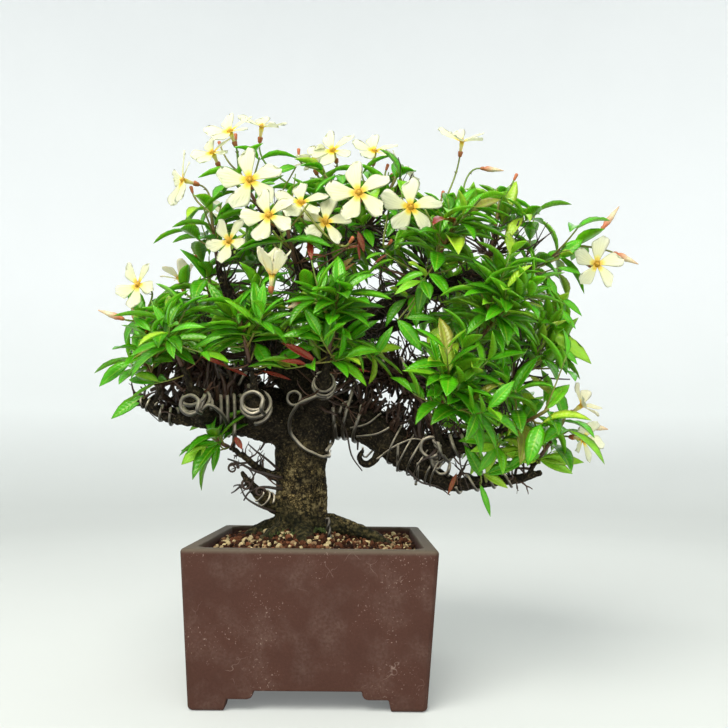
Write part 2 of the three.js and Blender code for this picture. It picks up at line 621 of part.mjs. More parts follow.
// One pinwheel flower: skewed petals round a short tube, built as a single closed skin.
function pinwheel([, centre, facing, width, cup]) {
  const reach = width / 2;
  const slice = turn / PETALS;
  const at = (angle, radius, lift) => {
    const out = THROAT + Math.cos(cup) * (radius - THROAT);
    const rise = Math.sin(cup) * (radius - THROAT);
    return new THREE.Vector3(Math.cos(angle) * out, Math.sin(angle) * out, rise + lift);
  };
  const collar = (angle, radius, depth) =>
    new THREE.Vector3(Math.cos(angle) * radius, Math.sin(angle) * radius, -depth);
  const places = [];
  const faces = [];
  for (let k = 0; k < PETALS; k += 1) {
    const start = k * slice;
    const [share, out] = PETAL_MIDDLE;
    places.push(
      ...PETAL_EDGE.map(([across, along, lift]) => at(start + slice * across, reach * along, lift)),
      at(start + slice * share, reach * out, PETAL_HALF_THICKNESS),
      at(start + slice * share, reach * out, -PETAL_HALF_THICKNESS),
      collar(start, TUBE_TOP, THROAT),
      collar(start, TUBE_FOOT, FLOWER_TUBE),
    );
  }
  const hub = places.push(new THREE.Vector3(0, 0, -0.5)) - 1;
  const index = (k, part) => (k % PETALS) * 9 + part;
  const fan = (middle, edge) => edge.forEach((a, j) => faces.push(middle, a, edge[(j + 1) % edge.length]));
  for (let k = 0; k < PETALS; k += 1) {
    const edge = PETAL_EDGE.map((_, part) => index(k, part));
    const next = index(k + 1, 0);
    fan(index(k, 5), [hub, ...edge, next]);
    fan(index(k, 6), [index(k, 7), ...edge, next, index(k + 1, 7)].toReversed());
    faces.push(index(k, 8), index(k + 1, 8), index(k + 1, 7), index(k, 8), index(k + 1, 7), index(k, 7));
    if (k > 0 && k + 1 < PETALS) faces.push(index(0, 8), index(k + 1, 8), index(k, 8));
  }
  const geometry = new THREE.BufferGeometry().setFromPoints(places);
  geometry.setIndex(faces);
  geometry.applyQuaternion(facingTurn(facing));
  geometry.translate(...centre);
  return solidOf(geometry);
}

function facingTurn(facing) {
  return new THREE.Quaternion().setFromUnitVectors(up, vec(facing).normalize());
}

// Sprays

// A leaf: a thin blade with a raised midrib, arched from its foot to its tip.
function leaf(foot, forward, upward, length, width, droop) {
  const side = forward.clone().cross(upward).normalize();
  const normal = side.clone().cross(forward).normalize();
  const at = (s, across, lift) => {
    const bend = droop * s;
    const out = (length * Math.sin(bend)) / droop;
    const fall = (length * (1 - Math.cos(bend))) / droop;
    return foot.clone()
      .addScaledVector(forward, out)
      .addScaledVector(normal, lift - fall)
      .addScaledVector(side, across);
  };
  const ring = (s, share) => {
    const half = (width / 2) * share;
    return [at(s, -half, 0), at(s, 0, LEAF_THICKNESS), at(s, half, 0)];
  };
  return skin([[at(0, 0, 0)], ...LEAF_RINGS.map(([s, share]) => ring(s, share)), [at(1, 0, 0)]]);
}

// A direction turned away from a stem by splay, at an angle round it.
function branchOff(frame, round, splay) {
  return frame.along.clone().multiplyScalar(Math.cos(splay))
    .addScaledVector(around(frame, round), Math.sin(splay)).normalize();
}

// A stem that starts along its heading and lifts a little towards the light.
function stemRoute(start, heading, length, lift, thick, steps) {
  return Array.from({ length: steps + 1 }, (_, k) => {
    const t = k / steps;
    const place = start.clone().addScaledVector(heading, length * t);
    return [place.addScaledVector(up, lift * length * t * t), mix(thick, thick * 0.75, t)];
  });
}

function frameAt(frames, t) {
  const at = t * (frames.length - 1);
  const k = Math.min(Math.floor(at), frames.length - 2);
  const along = frames[k + 1].place.clone().sub(frames[k].place).normalize();
  const across = frames[k].across.clone().addScaledVector(along, -frames[k].across.dot(along)).normalize();
  const place = frames[k].place.clone().lerp(frames[k + 1].place, at - k);
  return { place, along, across, side: along.clone().cross(across) };
}

// Leaves and side shoots leave a stem at the middles of its four sides first, and turn from there.
const SIDE_MIDDLE = Math.PI / 4;
const TRY_TURNS = [0, 0, 0.3, -0.3, 0.55, -0.55, Math.PI / 2, 0.8, -0.8];

function growStems(name, [, , seat, heading, reach], random) {
  const ahead = vec(heading).normalize();
  const start = vec(seat).addScaledVector(ahead, SEAT_GAP + 0.05);
  const roll = [random() - 0.5, random() - 0.5, random() - 0.5];
  const main = stemRoute(start, ahead, reach, STEM_LIFT, STEM, 3);
  const solid = note(name, 'stem 0', tube(main, 4, undefined, roll));
  const stems = [{ frames: framesAlong(main, roll), solid }];
  SHOOTS.forEach(([at, share], k) => {
    const frame = frameAt(stems[0].frames, at);
    let route = null;
    const kind = `stem ${stems.length}`;
    const shoot = growClear(name, kind, ['stem 0'], TRY_TURNS.length, (attempt) => {
      const round = SIDE_MIDDLE * (3 - 2 * k + 4 * (k + attempt % 2)) + TRY_TURNS[attempt];
      const ahead = branchOff(frame, round, SHOOT_SPLAY);
      route = stemRoute(frame.place, ahead, reach * share, SHOOT_LIFT, SHOOT, 2);
      return tube(route, 4, undefined, roll);
    });
    if (shoot) stems.push({ frames: framesAlong(route, roll), solid: shoot });
  });
  return stems;
}

// The stalk of a flower or bud, from the nearest stem to its foot, bulging sideways where it must.
function growStalk(name, stems, end, outward, profile) {
  const ends = stems.flatMap(({ frames }) => [0.55, 0.8, 0.97].map((t) => frameAt(frames, t).place));
  ends.sort((a, b) => a.distanceTo(end) - b.distanceTo(end));
  const joins = ['stem 0', 'stem 1', 'stem 2'];
  return growClear(name, 'stalk', joins, 24, (attempt) => {
    const start = ends[Math.floor(attempt / 8) % ends.length];
    const ahead = outward.clone().multiplyScalar(start.distanceTo(end) * 0.35);
    const bulge = new THREE.Vector3(Math.cos(attempt * 0.8), Math.sin(attempt * 0.8), 0.2)
      .multiplyScalar(attempt % 8 === 0 ? 0 : start.distanceTo(end) * 0.18);
    const knee = end.clone().sub(ahead).add(bulge);
    const curve = new THREE.QuadraticBezierCurve3(start, knee, end);
    const route = [0, 0.5, 1].map((t) => [curve.getPoint(t), STALK]);
    for (const [out, radius] of profile) route.push([end.clone().addScaledVector(outward, out), radius]);
    return tube(route, 3);
  });
}

function growLeaves(name, stems, random) {
  const leaves = [];
  for (const [stemIndex, { frames }] of stems.entries()) {
    const pairs = PAIRS[stemIndex];
    pairs.forEach((t, k) => {
      const frame = frameAt(frames, t);
      const last = t > 0.9;
      const pair = `pair ${stemIndex} ${k}`;
      for (const half of [0, 1]) {
        const length = (last ? END_LEAF_LENGTH : LEAF_LENGTH) + random() * LENGTH_SPREAD;
        const width = length * (LEAF_WIDTH + random() * WIDTH_SPREAD);
        const splay = (last ? END_LEAF_SPLAY : LEAF_SPLAY) + random() * 0.25;
        const droop = LEAF_DROOP * (1 + random());
        const solid = growClear(name, pair, [pair, `stem ${stemIndex}`], TRY_TURNS.length, (attempt) => {
          const round = SIDE_MIDDLE * (1 + 2 * (k + 2 * half)) + TRY_TURNS[attempt];
          const upward = up.clone().addScaledVector(frame.along, 0.6);
          const out = branchOff(frame, round, splay + (attempt === 1 ? 0.3 : 0));
          return leaf(frame.place, out, upward, length, width, droop);
        });
        if (solid) leaves.push(solid);
      }
    });
  }
  return leaves;
}

function build() {
  const group = new THREE.Group();
  const add = (name, solid, look) => group.add(meshOf(name, solid, look));
  add('pot', note('pot', 'pot', pot()), 'pot');
  add('drain_screen', drainScreen(), 'screen');
  add('soil', note('soil', 'soil', soil()), 'soil');
  add('anchor_wire', note('anchor', 'wire', anchorWire()), 'darkWire');
  add('tree', wood(), 'bark');
  for (const [name, spec] of Object.entries(WIRES)) {
    add(name, note(name, 'wire', seatedCoil(name, spec)), 'wire');
  }
  for (const [name, flowers] of Object.entries(BLOOMS)) {
    const node = `bloom_${name}`;
    const solids = flowers.map(pinwheel);
    for (const solid of solids) {
      if (!isClear(solid, node, ['bloom'])) throw new Error(`${node} touches its neighbour`);
      note(node, 'bloom', solid);
    }
    add(node, fuse(solids), 'bloom');
  }
  const seeds = Object.keys(SPRAYS);
  const grown = Object.entries(SPRAYS).map(([name, spec]) => {
    const random = randomFrom(100 + seeds.indexOf(name));
    return { name, random, stems: growStems(name, spec, random), stalks: [] };
  });
  for (const { name, stems, stalks } of grown) {
    for (const spec of Object.values(BLOOMS).flat().filter(([host]) => host === name)) {
      const facing = vec(spec[2]).normalize();
      const foot = vec(spec[1]).addScaledVector(facing, -FLOWER_TUBE - SEAT_GAP - CALYX_LENGTH);
      stalks.push(growStalk(name, stems, foot, facing, [[CALYX_LENGTH, CALYX_RADIUS]]));
    }
    for (const [, foot, tip, radius] of BUDS.filter(([host]) => host === name)) {
      const along = vec(tip).sub(vec(foot));
      const length = along.length();
      const profile = [[length * 0.3, radius], [length, BUD_TIP]];
      stalks.push(growStalk(name, stems, vec(foot), along.normalize(), profile));
    }
  }
  for (const { name, random, stems, stalks } of grown) {
    const leaves = growLeaves(name, stems, random);
    const solids = [...stems.map((each) => each.solid), ...stalks.filter(Boolean), ...leaves];
    add(`spray_${name}`, fuse(solids), 'leaves');
  }
  const box = new THREE.Box3().setFromObject(group);
  const middle = box.getCenter(new THREE.Vector3());
  group.position.set(-middle.x, -middle.y, -box.min.z);
  return group;
}

export default build();
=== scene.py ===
"""The looks of an asiatic jasmine bonsai in its pot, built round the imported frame.

Every length below is in millimetres, and every place is measured from the middle of the pot on the
ground, with +X to the viewer's right, +Y away from the viewer and +Z up. row() turns such places into
the frame's metres. The settings and the materials have their lengths in metres. The limbs, sprays,
flowers, buds and coils repeat the numbers of the part's source, so that each finer piece lies where its
solid is.
"""

from math import cos, exp, pi, radians, sin, tau

import bmesh
import bpy
import numpy as np
from bpy.props import FloatProperty, FloatVectorProperty, IntProperty, PointerProperty
from bpy.types import NodeSocket, Operator, Panel, PropertyGroup
from mathutils import Matrix, Vector, kdtree, noise
from mathutils.bvhtree import BVHTree


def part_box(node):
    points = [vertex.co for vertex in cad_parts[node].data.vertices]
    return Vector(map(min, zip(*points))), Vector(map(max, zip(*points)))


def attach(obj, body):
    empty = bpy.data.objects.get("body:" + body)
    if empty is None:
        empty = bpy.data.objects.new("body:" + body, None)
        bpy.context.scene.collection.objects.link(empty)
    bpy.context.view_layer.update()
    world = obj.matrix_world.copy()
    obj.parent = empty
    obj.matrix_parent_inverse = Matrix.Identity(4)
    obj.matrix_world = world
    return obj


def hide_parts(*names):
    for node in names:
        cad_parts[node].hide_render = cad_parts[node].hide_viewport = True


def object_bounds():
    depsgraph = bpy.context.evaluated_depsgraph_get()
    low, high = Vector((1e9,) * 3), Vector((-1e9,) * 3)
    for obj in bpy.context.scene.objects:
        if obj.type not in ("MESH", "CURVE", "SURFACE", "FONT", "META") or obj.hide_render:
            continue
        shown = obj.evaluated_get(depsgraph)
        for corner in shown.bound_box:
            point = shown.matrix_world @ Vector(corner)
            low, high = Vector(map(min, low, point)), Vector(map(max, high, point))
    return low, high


bl_info = {
    "name": "Jasmine Bonsai",
    "version": (1, 0, 0),
    "blender": (4, 5, 0),
    "location": "View3D > Sidebar > Jasmine",
    "description": "Builds the pot, soil, bark, wires, leaves and flowers of an asiatic jasmine bonsai",
    "category": "Object",
}

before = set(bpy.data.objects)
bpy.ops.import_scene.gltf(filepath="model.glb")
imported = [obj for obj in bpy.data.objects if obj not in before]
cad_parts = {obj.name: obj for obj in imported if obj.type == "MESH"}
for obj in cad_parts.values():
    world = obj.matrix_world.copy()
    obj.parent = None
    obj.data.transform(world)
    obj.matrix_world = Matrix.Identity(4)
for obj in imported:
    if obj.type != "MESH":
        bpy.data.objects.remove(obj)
CAD_BOX = [list(corner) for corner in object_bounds()]
POT_LOW, POT_HIGH = (np.array(corner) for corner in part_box("pot"))
MIDDLE = np.array([(POT_LOW[0] + POT_HIGH[0]) / 2, (POT_LOW[1] + POT_HIGH[1]) / 2, 0.0])
MM = 0.001
UP = np.array([0.0, 0.0, 1.0])

# Pot, soil and seats, as in the part's source
RIM = (POT_HIGH[0] - POT_LOW[0]) / MM
WALL = 5.8
FLOOR_TOP = 14.0
SOIL_EDGE = 61.5
MOUND = 9.0
MOUND_SPREAD = 23.0
MOUND_CENTRE = (-6.0, 6.0)
SEAT_GAP = 0.3

# Wires, leaves, stems and flowers, as in the part's source
THIN_WIRE = 0.7
THICK_WIRE = 0.9
LEAF_LENGTH = 20.0
END_LEAF_LENGTH = 17.0
LENGTH_SPREAD = 5.0
LEAF_WIDTH = 0.36
WIDTH_SPREAD = 0.06
LEAF_SPLAY = 1.05
END_LEAF_SPLAY = 0.75
LEAF_DROOP = 0.5
STEM = 1.05
SHOOT = 0.55
STALK = 0.6
STALK_TIP = 0.45
STEM_LIFT = 0.12
SHOOT_LIFT = 0.18
SHOOTS = [(0.27, 0.75), (0.6, 0.6)]
SHOOT_SPLAY = 0.95
PAIRS = [[0.4, 0.73, 0.95], [0.5, 0.93], [0.93]]
SIDE_MIDDLE = pi / 4
TWIG_TIP = 1.25
PETALS = 5
THROAT = 1.5
FLOWER_TUBE = 6.0
CALYX_LENGTH = 2.6
CALYX_RADIUS = 1.5

# The camera that took the photo, from the pot's corners in it
PHOTO_SIZE = 728
FOCAL_PIXELS = 745.0
CAMERA_PLACE = (20.1, -376.5, 106.0)
CAMERA_YAW = 0.36
CAMERA_PITCH = 7.05
CAMERA_ROLL = 0.6

# Middle of the trunk's foot from the front
TRUNK_X = -8.5

# Limbs: [x, y, z, radius] points
WOOD = {
    "trunk": [[-8, 5, 46, 14.2], [-8, 5, 60, 14.4], [-8.5, 4, 74, 13], [-8.5, 3, 90, 12.8],
        [-8.5, 2, 104, 12.6], [-8, 2, 116, 13.8], [-6, 4, 130, 12.2], [-2, 6, 146, 9.4], [3, 7, 162, 7.2],
        [7, 6, 178, 5.6], [8, 4, 194, 4.4], [6, 2, 209, 3.2], [5, 0, 221, 2.2]],
    "root_right": [[-4, 1, 72, 6.5], [6, -1, 73, 4.8], [18, -3, 70, 3.7], [29, -4, 66.5, 3],
        [40, -5, 59.5, 2.2]],
    "root_left": [[-12, 4, 71, 6], [-24, 4, 70, 4.6], [-34, 2, 65, 3.2], [-41, 0, 58, 2.2]],
    "root_front": [[-8, 0, 69, 6.5], [-6, -12, 68, 4.8], [-3, -21, 64, 3.4], [-1, -28, 57, 2.2]],
    "root_front_left": [[-12, 0, 69, 6], [-21, -9, 67, 4.2], [-29, -17, 59, 2.6]],
    "root_back": [[-8, 10, 71, 6.5], [-3, 22, 69, 4.6], [2, 33, 60, 2.8]],
    "root_back_left": [[-12, 8, 70, 6], [-23, 18, 68, 4], [-32, 27, 59, 2.6]],
    "left": [[-10, 1, 119, 10.5], [-26, -4, 123, 10.4], [-41, -8, 125, 9.2], [-53, -10, 125.5, 7.2],
        [-63, -12, 124.5, 4.6], [-70, -14, 124, 3.3], [-77, -15, 126.5, 2.7], [-84, -15, 130.5, 2],
        [-89, -14, 130, 1.4]],
    "left_stub": [[-53, -12, 125, 6], [-56, -21, 128.5, 5.4], [-57.5, -29, 134.5, 4.8]],
    "inner_stub": [[-30, -6, 124, 7.5], [-29, -21, 127, 5.9], [-28, -32, 133, 5.2]],
    "crown_stub": [[-3, 0, 128, 8], [0, -14, 134, 5.6], [3, -25, 138, 4.4], [4, -34, 141, 3.8]],
    "left_upper": [[-8, 8, 126, 9], [-28, 13, 134, 8], [-44, 14, 144, 6], [-58, 12, 153, 4.2],
        [-69, 9, 158, 2.6]],
    "left_mid": [[-6, 4, 136, 8], [-22, 0, 151, 5.6], [-34, -6, 167, 4.3], [-44, -10, 183, 3.2],
        [-50, -12, 196, 2.2]],
    "left_back": [[-4, 8, 146, 6.5], [-20, 26, 160, 4.4], [-34, 38, 173, 3.2], [-44, 46, 182, 2.2]],
    "right": [[-4, 2, 121, 11], [8, 1, 127, 10.6], [20, -1, 124, 9.8], [34, -4, 115, 9], [47, -7, 105, 7.4],
        [57, -9, 97, 5], [66, -10, 93, 3.5], [82, -12, 94.5, 2.8], [98, -12, 96, 2.2], [109, -12, 99, 1.5]],
    "right_low_front": [[43, -7, 109, 6.5], [60, -15, 110, 5], [74, -19, 113, 3.8], [86, -21, 118, 2.5]],
    "right_low_back": [[36, 0, 114, 6.5], [54, 14, 113, 4.8], [71, 24, 115, 3.6], [85, 30, 119, 2.4]],
    "mid_right": [[0, 7, 156, 6.5], [20, 4, 152.5, 5.8], [40, 2, 150, 5], [62, 0, 147.5, 4.2],
        [82, -2, 145, 3.2], [94, -3, 144, 2.1]],
    "right_upper": [[4, 6, 168, 5.6], [24, 2, 178, 4.6], [46, -4, 186, 3.8], [66, -8, 193, 3],
        [82, -10, 201, 2.1]],
    "right_back": [[4, 8, 164, 5.4], [22, 22, 172, 4.2], [42, 34, 179, 3.2], [58, 42, 185, 2.2]],
    "back": [[-4, 8, 139, 8], [-2, 26, 148, 5.6], [2, 38, 155, 4.2], [6, 50, 161, 2.6]],
    "front_up": [[2, 4, 158, 6], [0, -14, 170, 4.2], [-4, -28, 180, 3.1], [-8, -36, 189, 2.1]],
    "apex_left": [[8, 5, 184, 4.4], [-4, 2, 198, 3.4], [-16, -4, 211, 2.6], [-24, -8, 221, 1.9]],
    "low_twig": [[-18, 2, 95, 2.8], [-25, -4, 97, 2.2], [-31, -8, 101, 1.8], [-35, -11, 105, 1.5],
        [-39, -13, 107, 1.3]],
    "low_knob": [[-15, 2, 80, 5], [-23, -5, 83, 4.3], [-27, -9, 86.5, 3], [-32, -12, 92, 2],
        [-36, -14, 98, 1.2]],
    "hook": [[31, -7, 110, 2.6], [28, -9, 104, 2], [23, -9, 102, 1.7], [20.5, -9, 105.5, 1.4],
        [22.5, -9, 109, 1.1]],
}

# Sprays: the limb that each grows from, where along it, its foot, its heading and its reach
SPRAYS = {
    "left_tip": ["left", 0.8, [-77, -22, 140], [-0.45, -0.35, 0.75], 16],
    "left_stub": ["left_stub", 0.97, [-61, -37, 146], [-0.35, -0.45, 0.8], 22],
    "left_outer": ["left_upper", 1, [-74, 6, 163], [-0.6, -0.1, 0.6], 19],
    "left_behind": ["left_upper", 0.72, [-61, 32, 161], [-0.4, 0.7, 0.5], 29],
    "left_top": ["left_upper", 0.66, [-55, -3, 170], [-0.05, -0.25, 1], 22],
    "left_front": ["inner_stub", 0.97, [-30, -37, 148], [-0.2, -0.45, 0.9], 25],
    "left_low": ["low_twig", 1, [-42, -15, 109.5], [-0.75, -0.25, 0.35], 9],
    "crown_front": ["crown_stub", 0.97, [6, -41, 152], [0.15, -0.6, 0.75], 27],
    "front_up": ["front_up", 1, [-10, -40, 194], [-0.2, -0.6, 0.8], 25],
    "apex_left_out": ["left_mid", 1, [-51, -13, 200], [-0.15, -0.15, 0.95], 24],
    "apex_left": ["apex_left", 1, [-28, -10, 225], [-0.55, -0.2, 0.8], 25],
    "apex_top": ["trunk", 1, [4, -1, 226], [-0.1, 0.1, 1], 23],
    "apex_right": ["trunk", 0.95, [23, -8, 221], [0.55, -0.3, 0.8], 27],
    "apex_back": ["trunk", 0.9, [7, 22, 213], [0.1, 0.75, 0.6], 28],
    "left_mid_back": ["left_back", 1, [-48, 50, 186], [-0.6, 0.6, 0.45], 30],
    "left_mid_top": ["left_back", 0.75, [-34, 30, 193], [-0.35, 0.3, 0.9], 27],
    "back": ["back", 1, [8, 55, 164], [0.1, 0.85, 0.45], 25],
    "right_behind": ["right_back", 1, [62, 45, 188], [0.5, 0.65, 0.5], 30],
    "right_top": ["right_upper", 1, [85, -12, 206], [0.15, -0.3, 0.9], 25],
    "right_out": ["right_upper", 0.9, [94, 0, 198], [0.92, -0.05, 0.32], 40],
    "right_front": ["right_upper", 0.55, [52, -34, 191], [0.35, -0.7, 0.55], 28],
    "right_crown": ["right_upper", 0.6, [53, 8, 206], [0.3, 0.15, 0.95], 29],
    "mid_right_tip": ["mid_right", 1, [98, -3, 147], [0.75, -0.15, 0.65], 23],
    "mid_right_front": ["mid_right", 0.62, [73, -31, 158], [0.45, -0.75, 0.45], 28],
    "mid_right_back": ["mid_right", 0.68, [80, 27, 155], [0.6, 0.7, 0.35], 29],
    "low_right_front": ["right_low_front", 1, [89, -26, 119], [0.55, -0.6, 0.2], 24],
    "low_right_tip": ["right", 0.93, [106, -17, 105], [0.35, -0.35, 0.55], 22],
    "low_right_back": ["right_low_back", 1, [88, 33, 122], [0.6, 0.6, 0.45], 28],
    "low_right_inner": ["right_low_front", 0.35, [56, -35, 124], [0.15, -0.8, 0.5], 25],
}

# Flowers: the spray that each grows from, its centre, the way it faces, its width and how far it cups
BLOOMS = {
    "front_left": [["apex_left", [-31, -48, 231], [0, -1, 0.1], 28, 0.05]],
    "crest_left": [
        ["apex_left", [-46, -20, 267], [-0.3, -0.6, 0.8], 25, 0.2],
        ["apex_left", [-55, -17, 257], [-0.35, -0.6, 0.75], 22, 0.15],
    ],
    "crest_top": [["apex_top", [-33, 0, 279], [0.2, -0.2, 1], 25, 0.25]],
    "far_left_side": [["apex_left_out", [-70, -15, 243], [-1, -0.25, 0.1], 27, 0.15]],
    "front_middle": [["apex_top", [19, -55, 223], [-0.1, -1, 0.15], 27, 0.05]],
    "front_right": [["apex_right", [43, -45, 220], [0.2, -1, 0.2], 27, 0.05]],
    "top_middle": [
        ["apex_top", [5, -5, 264], [-0.3, -0.8, 0.6], 24, 0.15],
        ["apex_top", [-7, 4, 262], [-0.4, 0.3, 0.9], 24, 0.1],
    ],
    "top_right": [
        ["apex_right", [27, 2, 267], [0.1, -0.6, 0.8], 24, 0.2],
        ["apex_right", [41, 6, 260], [0.7, 0.1, 0.7], 24, 0.15],
    ],
    "front_cluster": [
        ["front_up", [-21, -55, 212], [-0.3, -1, 0.3], 24, 0.1],
        ["front_up", [-7, -50, 220], [0.1, -0.8, 0.7], 23, 0.15],
        ["front_up", [4, -50, 211], [0.4, -0.9, 0.4], 23, 0.1],
    ],
    "half_open": [["front_up", [-18, -62, 184], [0.1, -0.4, 1], 24, 1.1]],
    "left_tip": [["left_outer", [-90, -15, 189], [-0.6, -0.8, 0.15], 23, 0.2]],
    "left_pale": [["left_top", [-75, 6, 198], [-0.4, 0.2, 0.9], 20, 0.6]],
    "left_wilted": [["apex_left_out", [-54, 14, 234], [-0.2, 0.6, 0.7], 20, 0.7]],
    "left_hidden": [["apex_left", [-42, -35, 206], [-0.5, -0.8, 0.2], 22, 0.2]],
    "right_high": [["right_crown", [75, 13, 278], [0.1, -0.3, 1], 26, 0.35]],
    "right_far": [["right_out", [139, -12, 203], [0.2, -0.9, -0.2], 25, 0.15]],
    "low_right_upper": [["low_right_tip", [129, -15, 132], [0.7, -0.5, 0.6], 20, 0.5]],
    "low_right_lower": [["low_right_tip", [127, -22, 115], [0.7, -0.7, -0.2], 20, 0.4]],
}

# Buds: the spray that each grows from, its foot, its tip and its greatest radius
BUDS = [
    ["left_outer", [-95, -18, 171], [-107, -20, 175], 1.6],
    ["left_outer", [-91, -13, 171], [-92, -15, 178], 1.2], ["right_out", [145, -3, 224], [155, -1, 237], 1.7],
    ["right_out", [149, -8, 210], [161, -9, 204], 1.7],
    ["low_right_tip", [130, -17, 122], [140, -18, 120], 1.8],
    ["right_crown", [85, 12, 262], [97, 10, 260], 1.5], ["crown_front", [-6, -58, 172], [-11, -61, 169], 1.4],
]

# Coils: limb, where each starts and ends along it, turns, first angle and the wire's radius
COILS = {
    "wire_left_tip": ["left", 0.58, 0.74, 2.2, 0.4, THIN_WIRE],
    "wire_left_stub": ["left_stub", 0.5, 0.94, 2.1, 0.8, THICK_WIRE],
    "wire_inner_stub": ["inner_stub", 0.5, 0.94, 2.1, 0.2, THICK_WIRE],
    "wire_left_main": ["left", 0.23, 0.33, 1.7, 0.5, THICK_WIRE],
    "wire_trunk": ["trunk", 0.43, 0.29, 0.8, -0.6, THICK_WIRE],
    "wire_crown_stub": ["crown_stub", 0.62, 0.95, 2.6, 0.5, THIN_WIRE],
    "wire_right_main": ["right", 0.13, 0.25, 2.2, 0.5, THICK_WIRE],
    "wire_right_tip": ["right", 0.68, 0.86, 3.2, 0.3, THIN_WIRE],
}

# Runs that lead into and out of a coil, and how many stations of the coil the first one takes the place of
LEADS = {
    "wire_left_stub": ([], [[-53.3, -30, 126.1], [-50, -30, 128.8], [-45.4, -27, 126.3], [-42.8, -22, 121.9],
        [-42.5, -17, 117.3]], 0),
    "wire_trunk": ([[4, -26, 135.8], [-1.2, -27, 133.1], [-8, -25, 130], [-12.5, -19, 124], [-13, -13, 117],
        [-8.5, -12, 111.5], [-2.6, -10.5, 107.5], [2.5, -6, 105.5]], [], 9),
}

# More coils, which the frame leaves out
EXTRA_COILS = [
    ["left", 0.2, 0.33, 2.21, 0.44, THICK_WIRE], ["right", 0.3, 0.57, 3.4, 0.9, 0.5],
    ["right", 0.37, 0.58, 3.1, 2.2, 0.45], ["right_low_front", 0.25, 0.62, 3.0, 0.6, THICK_WIRE],
    ["mid_right", 0.8, 0.97, 2.4, 0.4, THIN_WIRE], ["left_upper", 0.35, 0.6, 2.2, 0.2, THICK_WIRE],
    ["mid_right", 0.25, 0.45, 2.0, 1.2, THICK_WIRE], ["low_knob", 0.3, 0.55, 2.2, 0.2, 0.5],
    ["left", 0.78, 0.93, 2.6, 0.4, 0.5],
]

# Single runs of wire that cross the wood, seen from the front
LAID_RUNS = [
    [[[7.4, 0, 129.5], [7.9, 0, 121.3], [7.2, 0, 113.4], [4, 0, 108]], THICK_WIRE],
    [[[10.6, 0, 126.8], [12.4, 0, 131.6], [16.8, 0, 133.1]], THIN_WIRE],
    [[[20.7, 0, 126.9], [21.6, 0, 131.4], [25.4, 0, 132.4]], THIN_WIRE],
    [[[16, 0, 119.5], [24, 0, 121.5], [31, 0, 127]], 0.5],
    [[[19, 0, 115.5], [29, 0, 116.8], [37, 0, 121]], 0.5],
    [[[29, 0, 104.5], [38, 0, 111], [47, 0, 114.5], [52, 0, 113.5]], 0.5],
    [[[39.2, 0, 112], [39.2, 0, 105.8], [39.3, 0, 99.1]], THIN_WIRE],
    [[[48.8, 0, 103], [48.8, 0, 98.3], [49, 0, 92]], THIN_WIRE],
]

# Rings of wire: middle, radius, turns, the wire's radius and where it leaves the wood
WIRE_LOOPS = [
    [[-57.7, -34, 128.6], 4.4, 1.15, THICK_WIRE, [-53, -30, 125]],
    [[-28.4, -38, 129.6], 5.0, 1.15, THICK_WIRE, [-23.5, -33, 125]],
    [[-10.9, -22, 133], 3.3, 1.2, THIN_WIRE, [-7.5, -12, 128]],
    [[54.3, -22, 110.5], 4.7, 1.3, THICK_WIRE, [58, -14, 108]],
    [[60.4, -16, 101.5], 3.8, 1.2, THIN_WIRE, [62, -10, 96]],
]

# Dead twigs and gnarls on each span of a limb
TWIGS_PER_SPAN = 4
GNARLS_PER_SPAN = 5
# Thickets of dead twigs: the box that each fills, how many twigs it has and how thick they are
THICKETS = [
    [(-84, -14, 128), (-18, 16, 152), 120, 2.6], [(-72, -4, 131), (-30, 12, 143), 60, 3.2],
    [(-84, -22, 145), (-15, 24, 180), 90, 1.0], [(12, -8, 142), (44, 16, 166), 70, 1.5],
    [(6, -16, 124), (60, 14, 150), 250, 2.0], [(-44, -30, 166), (48, 14, 228), 230, 0.9],
    [(38, -26, 150), (116, 26, 226), 150, 0.9], [(54, -24, 98), (104, 10, 134), 80, 1.1],
    [(-44, -14, 84), (-17, 2, 113), 13, 1.1],
]
# How near and how far from the wood a thicket's twig may end
THICKET_REACH = (3, 34)
# Knobs on the trunk: middle and radius
KNOBS = [[[-23.8, -6, 82.8], 4.1], [[3.6, -5, 87], 1.8], [[-20.5, -6, 96], 2.3]]
# Curled shoots: middle, radius, thickness, turns and how far they lean forwards
CURLS = [
    [[-33.4, -12, 91.8], 3.0, 0.8, 1.3, -2.5], [[-40.3, -13, 99.6], 2.6, 0.7, 1.2, -2.0],
    [[-27.0, -12, 88.4], 2.4, 0.7, 1.1, -2.0],
]
# Crossing dead shoots: stations and thickness
TANGLE = [
    [[[-17, -8, 95], [-25.2, -11, 96.9], [-31.6, -13, 99.2], [-37.2, -14, 102.1], [-43, -13, 104]], 0.9],
    [[[-17, -8, 89.5], [-26.5, -12, 90.6], [-32.2, -13, 88.2], [-34.8, -12, 84.2]], 0.8],
    [[[-19, -7, 99], [-25, -12, 104.6], [-28.9, -14, 107.5], [-33.4, -13, 111.3]], 0.7],
    [[[-20, -8, 78.6], [-28.2, -12, 82], [-34, -13, 86], [-37, -12, 92]], 0.7],
    [[[-26, -9, 85], [-31, -14, 91], [-30, -15, 96], [-35, -14, 101], [-41, -13, 99]], 0.55],
    [[[8, -9, 128], [14, -16, 118], [17, -18, 106], [22, -17, 99]], 0.6],
    [[[44, -12, 100], [50, -17, 94], [58, -18, 92], [64, -17, 88]], 0.6],
]

